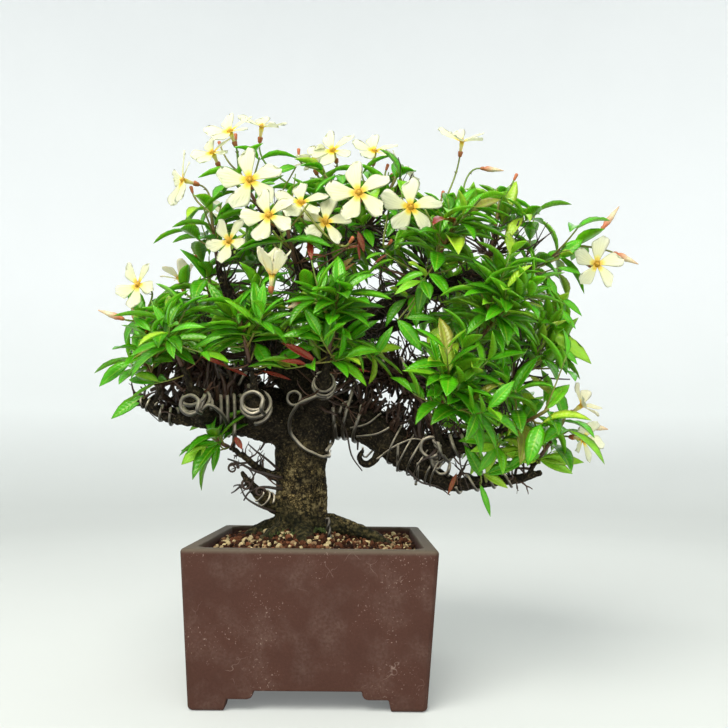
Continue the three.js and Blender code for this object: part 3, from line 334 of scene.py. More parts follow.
# The crown's outline from the front, in the plane 10 mm before the pot's middle
CROWN_PLANE = -10.0
CROWN = [
    (-109, 143), (-104, 150), (-94, 154), (-90, 158), (-97, 163), (-89, 168), (-100, 178), (-88, 180),
    (-76, 188), (-66, 184), (-56, 187), (-42, 188), (-31, 191), (-33, 197), (-42, 204), (-54, 207),
    (-64, 198), (-68, 204), (-58, 211), (-76, 211), (-78, 217), (-66, 217), (-58, 224), (-54, 236),
    (-42, 235), (-31, 242), (-16, 247), (0, 250), (15, 251), (36, 251), (49, 243), (57, 236), (62, 241),
    (66, 236), (72, 247), (80, 246), (84, 238), (92, 240), (99, 248), (99, 230), (110, 226), (103, 219),
    (106, 214), (116, 208), (121, 217), (130, 218), (136, 212), (128, 205), (123, 201), (131, 192),
    (131, 186), (120, 188), (129, 180), (131, 172), (124, 168), (138, 160), (138, 156), (127, 152),
    (124, 148), (118, 152), (112, 149), (106, 149), (97, 142), (88, 145), (80, 141), (88, 137), (97, 137),
    (96, 130), (99, 122), (112, 126), (118, 128), (121, 117), (120, 110), (133, 104), (124, 99), (112, 103),
    (104, 102), (95, 92), (88, 91), (84, 79), (80, 90), (72, 93), (66, 104), (60, 113), (52, 125),
    (44, 136), (36, 142), (27, 136), (17, 143), (5, 146), (-10, 147), (-30, 146), (-45, 146), (-58, 148),
    (-72, 146), (-80, 138), (-92, 127), (-103, 124), (-90, 140), (-98, 144),
]
# The open, twiggy part of the crown: middle x and z, and half its width and height
INNER = (4.0, 198.0, 46.0, 22.0)

# Leaves that stand alone: x, y and z of the foot and of the tip, age, and width as a share of the length
LONE_LEAVES = [
    (-53.6, -30, 151.3, -40.1, -32, 147.4, 0.97, 0.15), (-42.4, -32, 146.5, -31.7, -34, 143.1, 0.98, 0.16),
    (-25.1, -32, 144.8, -11.9, -34, 141.9, 0.97, 0.15), (6.5, -34, 150.5, 14.4, -36, 146.6, 0.97, 0.15),
    (15.7, -30, 146.4, 25.1, -32, 145.8, 0.98, 0.16), (-38.3, -22, 114.4, -34.6, -24, 109, 0.97, 0.45),
    (-4.4, -38, 199.2, 4, -40, 198.3, 0.95, 0.17), (18.8, -36, 205.9, 19.8, -38, 197, 0.97, 0.15),
    (8.8, -38, 188.9, 17, -40, 195.5, 0.94, 0.17), (26.4, -36, 195.4, 33, -38, 200.7, 0.97, 0.15),
    (-27.3, -34, 201, -21, -36, 196.6, 0.97, 0.15), (13, -34, 203, 22, -37, 205, 0.95, 0.17),
    (66.8, -18, 98, 62.7, -20, 88.7, 0.95, 0.22), (103.8, -14, 145.8, 116.3, -18, 135.8, 0.91, 0.26),
    (-91.5, -16, 150.3, -105.5, -20, 139.5, 0.55, 0.4), (-84, -14, 133.9, -98.5, -20, 124.2, 0.45, 0.36),
    (80.4, -22, 98.2, 96.1, -26, 104.5, 0.4, 0.36), (78, -22, 97.3, 71.1, -28, 110.7, 0.4, 0.38),
    (80.4, -22, 98.7, 86.1, -28, 117.4, 0.78, 0.24), (79.4, -22, 98.2, 89.9, -26, 92.9, 0.8, 0.36),
    (106.5, -20, 105, 121, -24, 100.1, 0.74, 0.36), (106.5, -20, 105.5, 127.3, -22, 105.7, 0.76, 0.3),
    (104.6, -20, 104.6, 88.3, -26, 110.9, 0.84, 0.44), (78.5, -16, 93.3, 83.7, -18, 78.5, 0.6, 0.2),
    (115.1, -10, 167.5, 135.5, -14, 154.6, 0.76, 0.36), (119.4, -12, 160.2, 127, -16, 152.8, 0.6, 0.36),
    (-12.6, -20, 248.6, -22.2, -26, 244.5, 0.4, 0.4), (-46.3, -22, 111.4, -62.7, -26, 108.9, 0.35, 0.3),
    (-51.5, -24, 109.5, -62, -28, 102.4, 0.75, 0.5), (-45.8, -22, 111, -47.9, -26, 98.9, 0.3, 0.3),
    (9.2, -36, 191.3, 16.1, -39, 198.2, 0.93, 0.3), (18.8, -36, 210.7, 21.7, -39, 201.2, 0.95, 0.3),
    (109.8, -14, 153.8, 117.5, -18, 148.5, 0.5, 0.4), (117.8, -14, 158.9, 121.4, -18, 147.5, 0.3, 0.36),
    (37.9, -34, 169.2, 49.2, -38, 155.6, 0.62, 0.38), (51.5, -34, 158.5, 58, -38, 165.9, 0.8, 0.5),
    (52.8, -35, 153.7, 67, -39, 148.2, 0.6, 0.34), (75.4, -33, 167, 85.1, -37, 176.8, 0.74, 0.42),
    (76.3, -33, 161.3, 91.9, -37, 164.6, 0.66, 0.36), (52.4, -34, 136.1, 66.1, -38, 122.3, 0.5, 0.26),
    (66.7, -34, 144.2, 70.7, -38, 130.1, 0.45, 0.34), (71.6, -31, 112.1, 77.5, -35, 123.9, 0.4, 0.36),
    (63.3, -33, 170.2, 71.1, -37, 162.5, 0.5, 0.5), (27.3, -34, 152.2, 34.5, -38, 165.6, 0.55, 0.3),
    (41.5, -36, 169.8, 55, -40, 170.2, 0.5, 0.3), (-1.1, -38, 174.1, 16.8, -42, 179.1, 0.5, 0.24),
    (-19.1, -37, 148, -2, -41, 156.4, 0.6, 0.36), (-6.2, -36, 163.6, 7.9, -40, 158.5, 0.76, 0.3),
    (8.7, -36, 162.9, 15.5, -40, 173.9, 0.72, 0.34), (4.5, -36, 162.8, 6.3, -40, 174.3, 0.66, 0.3),
    (-9.2, -36, 174.9, -4, -40, 183.1, 0.84, 0.36), (-30.5, -36, 159.1, -44.1, -40, 158.8, 0.6, 0.34),
    (12.4, -35, 161.7, 23.8, -39, 171, 0.5, 0.24), (-52.5, -28, 187.2, -38.9, -32, 167.7, 0.35, 0.24),
    (-63.6, -28, 155.7, -67.4, -32, 167.4, 0.62, 0.34), (-27.7, -36, 156.8, -20.5, -40, 146.2, 0.6, 0.55),
    (91.5, -12, 228.4, 98, -16, 244.8, 0.84, 0.46), (91.9, -12, 224.7, 108.6, -16, 221.6, 0.45, 0.24),
    (120.9, -10, 206.4, 131.1, -14, 215.8, 0.6, 0.5), (119.8, -10, 201.3, 130.2, -14, 198.8, 0.55, 0.3),
    (114.7, -10, 196, 117.4, -14, 184.9, 0.6, 0.42), (121, -10, 185.8, 130.6, -14, 177.5, 0.5, 0.3),
    (118.4, -10, 180.7, 127.5, -14, 171, 0.55, 0.3), (70.9, -30, 198.5, 84.9, -34, 189.8, 0.45, 0.3),
    (91, -28, 203.2, 95.6, -32, 185.6, 0.3, 0.42), (52.5, -33, 181.5, 48.8, -37, 189.6, 0.35, 0.36),
]

# Calyces whose flowers have dropped: the spray that each grows from, its foot and its heading
CALYCES = [
    ["apex_left_out", [-64.5, -15, 236], [-0.3, -0.2, 1]], ["apex_left", [-46, -2, 270], [-0.1, 0, 1]],
    ["apex_left", [-54.7, 3, 268], [-0.4, 0, 1]], ["apex_top", [-13, -2, 262], [0, -0.2, 1]],
    ["apex_right", [15.6, -6, 252], [-0.2, -0.2, 1]], ["apex_right", [33, 2, 256], [0.3, -0.1, 1]],
    ["front_up", [15, -54, 200], [0.5, -0.7, 0.6]], ["apex_right", [33, -38, 204], [0.4, -0.8, 0.4]],
    ["right_crown", [62, -2, 240], [0.2, -0.4, 0.9]], ["right_top", [96, -20, 243], [0.4, -0.2, 0.9]],
    ["left_top", [-62, -10, 202], [-0.3, -0.4, 0.9]], ["apex_back", [8, 44, 240], [0.1, 0.6, 0.8]],
    ["left_mid_top", [-42, 36, 224], [-0.3, 0.4, 0.9]], ["right_behind", [80, 62, 212], [0.4, 0.6, 0.7]],
]


# Numbers that a user would change


def length_setting(name, description, default, least, most):
    """A length in metres."""
    return FloatProperty(name=name, description=description, default=default, min=least, max=most,
                         unit="LENGTH", precision=5)


def colour_setting(name, description, default):
    """A colour."""
    return FloatVectorProperty(name=name, description=description, default=default, min=0, max=1,
                               subtype="COLOR")


def power_setting(name, description, default):
    """A light's power in watts."""
    return FloatProperty(name=name, description=description, default=default, min=0, max=100, unit="POWER")


class PotSettings(PropertyGroup):
    """Finish of the pot."""

    arris: length_setting("Arris", "How far the fired edges are rounded", 0.0008, 0.0001, 0.002)
    clay: colour_setting("Clay", "Colour of the fired clay", (0.06, 0.0252, 0.0172))
    lime: colour_setting("Lime", "Colour of the dried lime marks", (0.24, 0.17, 0.14))


class SoilSettings(PropertyGroup):
    """Grains in the pot."""

    pitch: length_setting("Grain pitch", "Distance between neighbouring grains", 0.0021, 0.0018, 0.006)
    grain: length_setting("Grain radius", "Mean radius of a grain", 0.0012, 0.0008, 0.003)
    brown: colour_setting("Brown", "Colour of the fired clay grains", (0.11, 0.04, 0.018))
    pale: colour_setting("Pale", "Colour of the pumice grains", (0.47, 0.37, 0.19))


class WoodSettings(PropertyGroup):
    """Bark of the trunk and branches."""

    voxel: length_setting("Voxel", "Size of the cells that fuse the limbs", 0.00084, 0.0005, 0.002)
    furrow: length_setting("Furrow", "Depth of the bark's furrows on thick wood", 0.0009, 0, 0.002)
    old: colour_setting("Old bark", "Colour of the speckled bark at the foot", (0.056, 0.041, 0.016))
    dark: colour_setting("Dark bark", "Colour of the bark higher up", (0.0075, 0.0058, 0.0035))


class WireSettings(PropertyGroup):
    """Training wires."""

    steps: IntProperty(name="Steps", description="Stations in one turn of a coil", default=26, min=12, max=48)
    metal: colour_setting("Metal", "Colour of the wire", (0.66, 0.57, 0.42))


class LeafSettings(PropertyGroup):
    """Leaves and the shoots that carry them."""

    shoots: IntProperty(name="Side shoots", description="Fine side shoots that each spray grows", default=9,
                        min=0, max=20)
    fill: IntProperty(name="Filling shoots", description="Shoots tried in the gaps between the sprays",
                      default=1600, min=0, max=6000)
    green: colour_setting("Green", "Colour of a grown leaf", (0.048, 0.275, 0.003))
    young: colour_setting("Young green", "Colour of a young leaf", (0.34, 0.54, 0.03))


class FlowerSettings(PropertyGroup):
    """Pinwheel flowers."""

    petal_width: FloatProperty(name="Petal width", description="Greatest half width of a petal, as a share "
                               "of the flower's radius", default=0.29, min=0.2, max=0.5)
    cream: colour_setting("Cream", "Colour of the petals", (0.74, 0.73, 0.34))
    throat: colour_setting("Throat", "Colour of the flower's star", (0.82, 0.4, 0.01))


class StageSettings(PropertyGroup):
    """Floor and light."""

    key_power: power_setting("Key light", "Power of the large soft light", 14.5)
    fill_power: power_setting("Fill lights", "Power of the lights beside the camera and behind", 2.0)
    sky: FloatProperty(name="Surrounding light", description="Strength of the even light all round",
                       default=0.31, min=0, max=3)


# Curves, frames and tubes


def random_from(seed):
    """The seeded draw of the part's source, so that both grow the same sprays."""
    state = seed
    mask = 0xFFFFFFFF

    def draw():
        nonlocal state
        state = (state + 0x6D2B79F5) & mask
        t = ((state ^ (state >> 15)) * (1 | state)) & mask
        t = ((t + (((t ^ (t >> 7)) * (61 | t)) & mask)) ^ t) & mask
        return (t ^ (t >> 14)) / 2**32

    return draw


def jitter(random):
    """Three draws from -0.5 to 0.5."""
    return np.array([random() - 0.5, random() - 0.5, random() - 0.5])


def unit(vectors):
    """Vectors of length one."""
    vectors = np.asarray(vectors, float)
    return vectors / np.maximum(np.linalg.norm(vectors, axis=-1, keepdims=True), 1e-9)


def row(points):
    """Places in the frame's metres."""
    return np.asarray(points, float) * MM + MIDDLE


def curve_point(points, t):
    """A place on the smooth curve through points, as the part's source draws it."""
    last = len(points) - 1
    k = min(int(t * last), last - 1)
    w = t * last - k
    x1, x2 = points[k], points[k + 1]
    x0 = points[k - 1] if k > 0 else 2 * points[0] - points[1]
    x3 = points[k + 2] if k + 2 <= last else 2 * points[last] - points[last - 1]
    d0, d1, d2 = (max(np.linalg.norm(b - a), 1e-6) ** 0.5 for a, b in ((x0, x1), (x1, x2), (x2, x3)))
    t1 = ((x1 - x0) / d0 - (x2 - x0) / (d0 + d1) + (x2 - x1) / d1) * d1
    t2 = ((x2 - x1) / d1 - (x3 - x1) / (d1 + d2) + (x3 - x2) / d2) * d1
    return x1 + t1 * w + (3 * (x2 - x1) - 2 * t1 - t2) * w**2 + (2 * (x1 - x2) + t1 + t2) * w**3


def smooth_path(points, steps):
    """Stations along the smooth curve through points."""
    points = np.asarray(points, float)
    return np.array([curve_point(points, t) for t in np.linspace(0, 1, steps + 1)])


class Limb:
    """A limb that grows along [x, y, z, radius] points."""

    def __init__(self, points):
        points = np.asarray(points, float)
        self.points = points[:, :3]
        self.radii = points[:, 3]
        self.spans = len(points) - 1

    def place(self, t):
        return curve_point(self.points, t)

    def radius(self, t):
        return float(np.interp(t * self.spans, range(self.spans + 1), self.radii))

    def heading(self, t):
        low, high = max(t - 1e-3, 0), min(t + 1e-3, 1)
        return unit(self.place(high) - self.place(low))

    def route(self, steps):
        """The places and radii at even steps."""
        ts = np.linspace(0, 1, steps + 1)
        return np.array([self.place(t) for t in ts]), np.array([self.radius(t) for t in ts])


def twig_to(host, at, seat, heading, _reach):
    """The twig that reaches from a limb to the foot of a spray."""
    start = LIMBS[host].place(at)
    end = np.array(seat, float)
    last = end - unit(heading) * 4
    middle = (start + last) / 2 - UP * np.linalg.norm(last - start) * 0.06
    thick = min(LIMBS[host].radius(at) * 0.75, 2.4)
    half = (thick + TWIG_TIP) / 2
    return Limb([[*start, thick], [*middle, half], [*last, TWIG_TIP], [*end, TWIG_TIP]])


LIMBS = {name: Limb(points) for name, points in WOOD.items()}
TWIGS = {name: twig_to(*spec) for name, spec in SPRAYS.items()}


def frames_along(path, first=(0.31, 0.87, 0.38)):
    """The ways along and across a path at each station, turned as little as it allows."""
    path = np.asarray(path, float)
    ahead = np.concatenate([path[1:], path[-1:]]) - np.concatenate([path[:1], path[:-1]])
    along = unit(ahead)
    across = np.zeros_like(along)
    now = np.array(first, float)
    for k, way in enumerate(along):
        now = unit(now - way * (now @ way))
        across[k] = now
    return along, across, np.cross(along, across)


def grid(rows, wide):
    """The faces between rows of points."""
    k = (np.arange(rows - 1)[:, None] * wide + np.arange(wide - 1)).ravel()
    return np.stack([k, k + 1, k + wide + 1, k + wide], -1)


def sleeve(rings, sides):
    """The faces between closed rings of points."""
    first = np.arange(rings - 1)[:, None] * sides
    j = np.arange(sides)
    k = (j + 1) % sides
    return np.stack([first + j, first + k, first + sides + k, first + sides + j], -1).reshape(-1, 4)


def tube(path, radii, sides, first=(0.31, 0.87, 0.38), relief=None):
    """Points and faces of a closed tube, with rounded ends. relief(angles, station) swells its sides."""
    path = np.asarray(path, float)
    radii = np.broadcast_to(np.asarray(radii, float), len(path))
    along, across, side = frames_along(path, first)
    angles = np.linspace(0, tau, sides, endpoint=False)
    rings = []
    for k in range(len(path)):
        reach = radii[k] * (relief(angles, k) if relief else np.ones(sides))
        ring = np.outer(reach * np.cos(angles), across[k]) + np.outer(reach * np.sin(angles), side[k])
        rings.append(path[k] + ring)
    start = path[0] - along[0] * radii[0] * 0.5
    end = path[-1] + along[-1] * radii[-1] * 0.5
    points = np.concatenate([*rings, [start], [end]])
    j = np.arange(sides)
    k = (j + 1) % sides
    foot, tip = len(points) - 2, len(points) - 1
    low = np.stack([np.full(sides, foot), k, j], -1)
    high = np.stack([np.full(sides, tip), foot - sides + j, foot - sides + k], -1)
    return points, [sleeve(len(path), sides), np.concatenate([low, high])]


class Form:
    """A mesh in the making: points, faces, the finish of each face, and named numbers for each point."""

    def __init__(self, *marks):
        self.points = []
        self.faces = []
        self.finishes = []
        self.marks = {name: [] for name in marks}
        self.count = 0

    def add(self, points, faces, finish=0, **values):
        """Adds points and groups of faces, with a number or a row of numbers for each mark."""
        points = np.asarray(points, float)
        for group in faces:
            self.faces += (np.asarray(group) + self.count).tolist()
            self.finishes += [finish] * len(group)
        for name, rows in self.marks.items():
            rows.append(np.broadcast_to(np.asarray(values.get(name, 0.0), float), len(points)))
        self.points.append(points)
        self.count += len(points)

    def shown(self, name, finishes):
        """Makes the mesh and its object."""
        mesh = bpy.data.meshes.new(name)
        mesh.from_pydata(row(np.concatenate(self.points)).tolist(), [], self.faces)
        for finish in finishes:
            mesh.materials.append(finish)
        mesh.polygons.foreach_set("material_index", self.finishes)
        mesh.polygons.foreach_set("use_smooth", [True] * len(self.faces))
        for mark, rows in self.marks.items():
            layer = mesh.attributes.new(mark, "FLOAT", "POINT")
            layer.data.foreach_set("value", np.concatenate(rows).astype(np.float32))
        return linked(name, mesh)

    def build(self, name, finishes, slot, replaced=()):
        """Makes the object, riding on the root, and hides the solids that it stands for."""
        return dress(self.shown(name, finishes), replaced)


def linked(name, data):
    """An object in the scene."""
    thing = bpy.data.objects.new(name, data)
    bpy.context.scene.collection.objects.link(thing)
    return thing


def dress(piece, replaced=()):
    """Makes a piece ride on the root, and hides the solids that it stands for."""
    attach(piece, "root")
    if replaced:
        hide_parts(*replaced)
    return piece


def settled(piece, *modifiers):
    """Applies modifiers, each a kind and its values, to a piece's own mesh."""
    for kind, values in modifiers:
        modifier = piece.modifiers.new(kind.title(), kind)
        for key, value in values.items():
            setattr(modifier, key, value)
    graph = bpy.context.evaluated_depsgraph_get()
    mesh = bpy.data.meshes.new_from_object(piece.evaluated_get(graph))
    piece.modifiers.clear()
    piece.data = mesh
    return piece


# Materials

RIM_GREY = (0.115, 0.1, 0.07)
LICHEN = (0.27, 0.21, 0.095)
BRONZE = (0.2, 0.17, 0.03)
RED = (0.33, 0.02, 0.012)
CRIMSON = (0.2, 0.01, 0.012)


class Finish:
    """A material in the making: one principled shader and the nodes that feed it."""

    def __init__(self, name, **sockets):
        self.material = bpy.data.materials.new(name)
        self.material.use_nodes = True
        self.tree = self.material.node_tree
        self.shader = self.tree.nodes["Principled BSDF"]
        for socket, value in sockets.items():
            self.shader.inputs[socket.replace("_", " ")].default_value = value
        self.place = self.node("ShaderNodeTexCoord").outputs["Object"]

    def node(self, kind, inputs=(), **settings):
        """A node, with each input linked to a socket or set to a value."""
        node = self.tree.nodes.new(kind)
        for key, value in settings.items():
            setattr(node, key, value)
        for key, value in dict(inputs).items():
            if isinstance(value, NodeSocket):
                self.tree.links.new(value, node.inputs[key])
            else:
                node.inputs[key].default_value = value
        return node

    def set(self, socket, source):
        self.tree.links.new(source, self.shader.inputs[socket])

    def noise(self, size, detail=3.0):
        """Noise whose lumps are about size metres wide, from 0 to 1."""
        inputs = {"Vector": self.place, "Scale": 1 / size, "Detail": detail}
        return self.node("ShaderNodeTexNoise", inputs).outputs[0]

    def cells(self, size):
        """The distance to the nearest middle of cells that are about size metres wide."""
        return self.node("ShaderNodeTexVoronoi", {"Vector": self.place, "Scale": 1 / size}).outputs[0]

    def mark(self, name):
        """A number that the mesh has at each point."""
        return self.node("ShaderNodeAttribute", attribute_name=name).outputs["Fac"]

    def coordinate(self, axis, vector=None):
        """One number of a vector, or of the place in the frame."""
        return self.node("ShaderNodeSeparateXYZ", {0: vector or self.place}).outputs[axis]

    def sums(self, operation, first, second=0.5):
        return self.node("ShaderNodeMath", {0: first, 1: second}, operation=operation).outputs[0]

    def between(self, value, low, high, first=0.0, last=1.0):
        """Turns a value from low to high into one from first to last."""
        return self.node("ShaderNodeMapRange", {0: value, 1: low, 2: high, 3: first, 4: last}).outputs[0]

    def ramp(self, factor, *stops):
        """Colours or greys at places from 0 to 1."""
        node = self.node("ShaderNodeValToRGB", {"Fac": factor})
        elements = node.color_ramp.elements
        while len(elements) < len(stops):
            elements.new(0.5)
        for element, (place, colour) in zip(elements, stops):
            element.position = place
            element.color = (*colour, 1) if hasattr(colour, "__len__") else (colour, colour, colour, 1)
        return node.outputs[0]

    def mottle(self, size, detail, *stops):
        """Noise turned into colours or greys."""
        return self.ramp(self.noise(size, detail), *stops)

    def mix(self, factor, first, second, blend="MIX"):
        inputs = {0: factor, 6: first, 7: second}
        for key in (6, 7):
            if not isinstance(inputs[key], NodeSocket):
                inputs[key] = (*inputs[key], 1)
        return self.node("ShaderNodeMix", inputs, data_type="RGBA", blend_type=blend).outputs[2]

    def shaded(self, colour, shade):
        """A colour made darker or lighter by greys."""
        return self.mix(1.0, colour, shade, "MULTIPLY")

    def bump(self, height, depth, strength=1.0, over=None):
        """Relief whose full height is depth metres."""
        inputs = {"Height": height, "Distance": depth, "Strength": strength}
        if over is not None:
            inputs["Normal"] = over
        normal = self.node("ShaderNodeBump", inputs).outputs[0]
        self.set("Normal", normal)
        return normal


def tinted(colour, share):
    """A colour made darker or lighter by a share."""
    return tuple(min(channel * share, 1.0) for channel in colour)


def clay_finish(settings):
    """Unglazed fired clay: speckle, soft clouds, a greyer rim, and faint runs and specks of dried lime."""
    finish = Finish("fired_clay", Roughness=0.7, Specular_IOR_Level=0.14)
    clay, lime = settings.clay, settings.lime
    speckle = finish.mottle(0.0009, 5, (0.3, tinted(clay, 0.82)), (0.72, tinted(clay, 1.2)))
    clouds = finish.mottle(0.02, 6, (0.3, tinted(clay, 0.84)), (0.7, tinted(clay, 1.16)))
    haze = finish.sums("MULTIPLY", finish.mottle(0.013, 8, (0.46, 0.0), (0.75, 0.26)),
                       finish.mottle(0.0013, 5, (0.36, 0.25), (0.64, 1.0)))
    marked = finish.mix(haze, finish.mix(0.55, speckle, clouds), tinted(lime, 0.85))
    waves = finish.node("ShaderNodeTexNoise", {"Vector": finish.place, "Scale": 160.0}).outputs[1]
    bent = finish.node("ShaderNodeMix", {0: 0.012, 4: finish.place, 5: waves}, data_type="VECTOR").outputs[1]
    lines = finish.node("ShaderNodeTexVoronoi", {"Vector": bent, "Scale": 60.0}, feature="DISTANCE_TO_EDGE")
    runs = finish.sums("MULTIPLY", finish.ramp(lines.outputs["Distance"], (0.0, 0.7), (0.011, 0.0)),
                       finish.mottle(0.017, 3, (0.6, 0.0), (0.7, 1.0)))
    marked = finish.mix(runs, marked, lime)
    specks = finish.sums("MULTIPLY", finish.mottle(0.0008, 2, (0.66, 0.0), (0.74, 0.8)),
                         finish.mottle(0.02, 4, (0.5, 0.0), (0.62, 1.0)))
    marked = finish.mix(specks, marked, tinted(lime, 1.3))
    worn = finish.between(finish.coordinate(2), POT_HIGH[2] - 0.0022, POT_HIGH[2] - 0.0004, 0.0, 0.7)
    finish.set("Base Color", finish.mix(worn, marked, RIM_GREY))
    finish.bump(finish.noise(0.0007, 4), 0.00008, 0.8, finish.bump(finish.noise(0.008, 2), 0.0003, 0.5))
    return finish.material


def tint_finish(name, stops, speckle, grit=None, **sockets):
    """A matte finish whose colour goes by the mesh's tint, with a speckle and fine relief.

    speckle has the size and detail of its noise and its darkest and palest share; grit the size and depth.
    """
    finish = Finish(name, **sockets)
    size, detail, dark, pale = speckle
    shade = finish.mottle(size, detail, (0.3, dark), (0.7, pale))
    finish.set("Base Color", finish.shaded(finish.ramp(finish.mark("tint"), *stops), shade))
    if grit:
        finish.bump(finish.noise(grit[0]), grit[1])
    return finish.material


def grain_finish(settings):
    """Fired clay and pumice grains, each of its own colour."""
    brown, pale = settings.brown, settings.pale
    stops = [(0.0, tinted(brown, 0.12)), (0.3, tinted(brown, 0.4)), (0.52, brown), (0.68, tinted(brown, 1.7)),
             (0.84, pale), (1.0, tinted(pale, 1.6))]
    return tint_finish("soil_grain", stops, (0.0006, 4, 0.62, 1.15), (0.0004, 0.0002), Roughness=0.95,
                       Specular_IOR_Level=0.15)


def stem_finish():
    """Stems that turn from green through red brown to bark."""
    stops = [(0.0, (0.09, 0.24, 0.015)), (0.35, (0.2, 0.2, 0.03)), (0.6, (0.15, 0.055, 0.022)),
             (1.0, (0.028, 0.016, 0.01))]
    return tint_finish("stem", stops, (0.0008, 3, 0.7, 1.2), (0.0006, 0.0001), Roughness=0.5)


def calyx_finish():
    """Red brown calyces and bud scales, and the cream and orange of the buds."""
    stops = [(0.0, (0.36, 0.12, 0.03)), (0.5, (0.5, 0.14, 0.05)), (0.8, (0.62, 0.42, 0.24)),
             (1.0, (0.72, 0.66, 0.4))]
    return tint_finish("calyx", stops, (0.0007, 3, 0.75, 1.15), (0.0006, 0.0001), Roughness=0.6)


def moss_finish():
    """Dark green moss."""
    stops = [(0.0, (0.012, 0.022, 0.004)), (1.0, (0.09, 0.13, 0.02))]
    return tint_finish("moss", stops, (0.0006, 3, 0.6, 1.2), Roughness=0.9)


def bark_finish(settings):
    """Bark that is speckled olive and gold at the foot and near black higher up, with painted shade on the
    trunk's flanks and the limbs beside it.
    """
    finish = Finish("bark", Roughness=0.85, Specular_IOR_Level=0.16)
    old, dark = settings.old, settings.dark
    grit = finish.mottle(0.0006, 6, (0.32, tinted(old, 0.1)), (0.48, tinted(old, 0.5)),
                         (0.58, tinted(old, 1.5)), (0.7, tinted(old, 5.0)))
    foot = finish.mix(finish.mottle(0.005, 6, (0.5, 0.0), (0.64, 0.7)), grit, LICHEN)
    foot = finish.shaded(foot, finish.mottle(0.0016, 6, (0.38, 0.15), (0.6, 1.5)))
    foot = finish.shaded(foot, finish.mottle(0.011, 3, (0.38, 0.45), (0.62, 1.6)))
    upper = finish.mottle(0.001, 6, (0.32, tinted(dark, 0.3)), (0.5, tinted(dark, 1.0)),
                          (0.64, tinted(dark, 4.5)), (0.78, tinted(old, 2.6)))
    upper = finish.shaded(upper, finish.mottle(0.004, 4, (0.35, 0.45), (0.62, 1.5)))
    height = finish.coordinate(2)
    middle = float(row([TRUNK_X, 0, 0])[0])
    # Painted shade: above 78 to 88 mm, wood more than 13.5 to 18 mm to either side of the trunk's middle
    # takes the near black upper bark, darkening the trunk's flanks and the limbs beside it
    beside = finish.sums("ABSOLUTE", finish.sums("SUBTRACT", finish.coordinate(0), middle))
    beside = finish.sums("MULTIPLY", finish.between(beside, 0.0135, 0.018, 0.0, 0.92),
                         finish.between(height, 0.078, 0.088))
    edge = finish.sums("ADD", height, finish.sums("MULTIPLY", finish.noise(0.014, 3), 0.04))
    risen = finish.sums("MAXIMUM", finish.between(edge, 0.112, 0.136, 0.0, 0.92), beside)
    damp = finish.mottle(0.0016, 5, (0.38, (0.006, 0.007, 0.003)), (0.56, (0.022, 0.022, 0.007)),
                         (0.7, tinted(old, 1.3)))
    low = finish.between(edge, 0.09, 0.106, 0.85, 0.0)
    finish.set("Base Color", finish.mix(low, finish.mix(risen, foot, upper), damp))
    finish.bump(finish.noise(0.0009, 6), 0.0006, 1.0, finish.bump(finish.cells(0.0026), 0.0006, 0.6))
    return finish.material


def wire_finish(name, metal, roughness):
    """Dulled aluminium wire, with painted light on its upper side and painted shade on its sides and
    underside.
    """
    finish = Finish(name, Metallic=0.3, Roughness=roughness, Specular_IOR_Level=0.7)
    wear = finish.mottle(0.003, 4, (0.3, tinted(metal, 0.6)), (0.7, tinted(metal, 1.15)))
    # Painted light and shade: the colour goes by the way the surface faces, lighter on top and darker on the
    # sides and underside
    upward = finish.coordinate(2, finish.node("ShaderNodeNewGeometry").outputs["Normal"])
    upward = finish.between(upward, -1.0, 1.0)
    painted_light_and_shade = finish.ramp(upward, (0.3, 0.06), (0.48, 0.32), (0.66, 0.85), (0.86, 1.6))
    finish.set("Base Color", finish.shaded(wear, painted_light_and_shade))
    finish.bump(finish.noise(0.0005, 3), 0.00003)
    return finish.material


def screen_finish():
    """Moulded drain screen."""
    finish = Finish("moulded_screen", Roughness=0.55)
    finish.set("Base Color", finish.mottle(0.002, 3, (0.3, 0.028), (0.7, 0.05)))
    finish.bump(finish.noise(0.0006), 0.00004)
    return finish.material


def leaf_finish(settings):
    """Glossy leaves: dark to yellow green by age, then bronze and red, with a pale midrib and underside."""
    finish = Finish("leaf", Roughness=0.31, Specular_IOR_Level=0.5, Specular_Tint=(0.95, 1.0, 0.65, 1),
                    Subsurface_Weight=0.22, Subsurface_Scale=0.002, Subsurface_Radius=(0.3, 1.0, 0.1))
    green, young = settings.green, settings.young
    tint, rib = finish.mark("tint"), finish.mark("rib")
    age = finish.ramp(tint, (0.0, tinted(green, 0.42)), (0.38, green), (0.62, tinted(green, 1.45)),
                      (0.86, young), (0.93, BRONZE), (0.97, RED))
    slant = finish.sums("SUBTRACT", finish.sums("MULTIPLY", finish.mark("along"), 62.0),
                        finish.sums("MULTIPLY", rib, 7.0))
    veins = finish.sums("SINE", slant)
    veined = finish.mix(finish.ramp(veins, (0.8, 0.0), (1.0, 0.16)), age, tinted(young, 0.8))
    ribbed = finish.mix(finish.ramp(rib, (0.04, 0.45), (0.12, 0.0)), veined, tinted(young, 0.9))
    below = finish.mix(finish.sums("MULTIPLY", finish.mark("under"), 0.5), ribbed, tinted(young, 0.7))
    below = finish.mix(finish.ramp(tint, (0.92, 0.0), (0.95, 0.82)), below, CRIMSON)
    finish.set("Base Color", finish.shaded(below, finish.mottle(0.004, 3, (0.3, 0.8), (0.7, 1.15))))
    finish.bump(veins, 0.00006, 0.6, finish.bump(finish.noise(0.0012, 2), 0.0001, 0.4))
    return finish.material


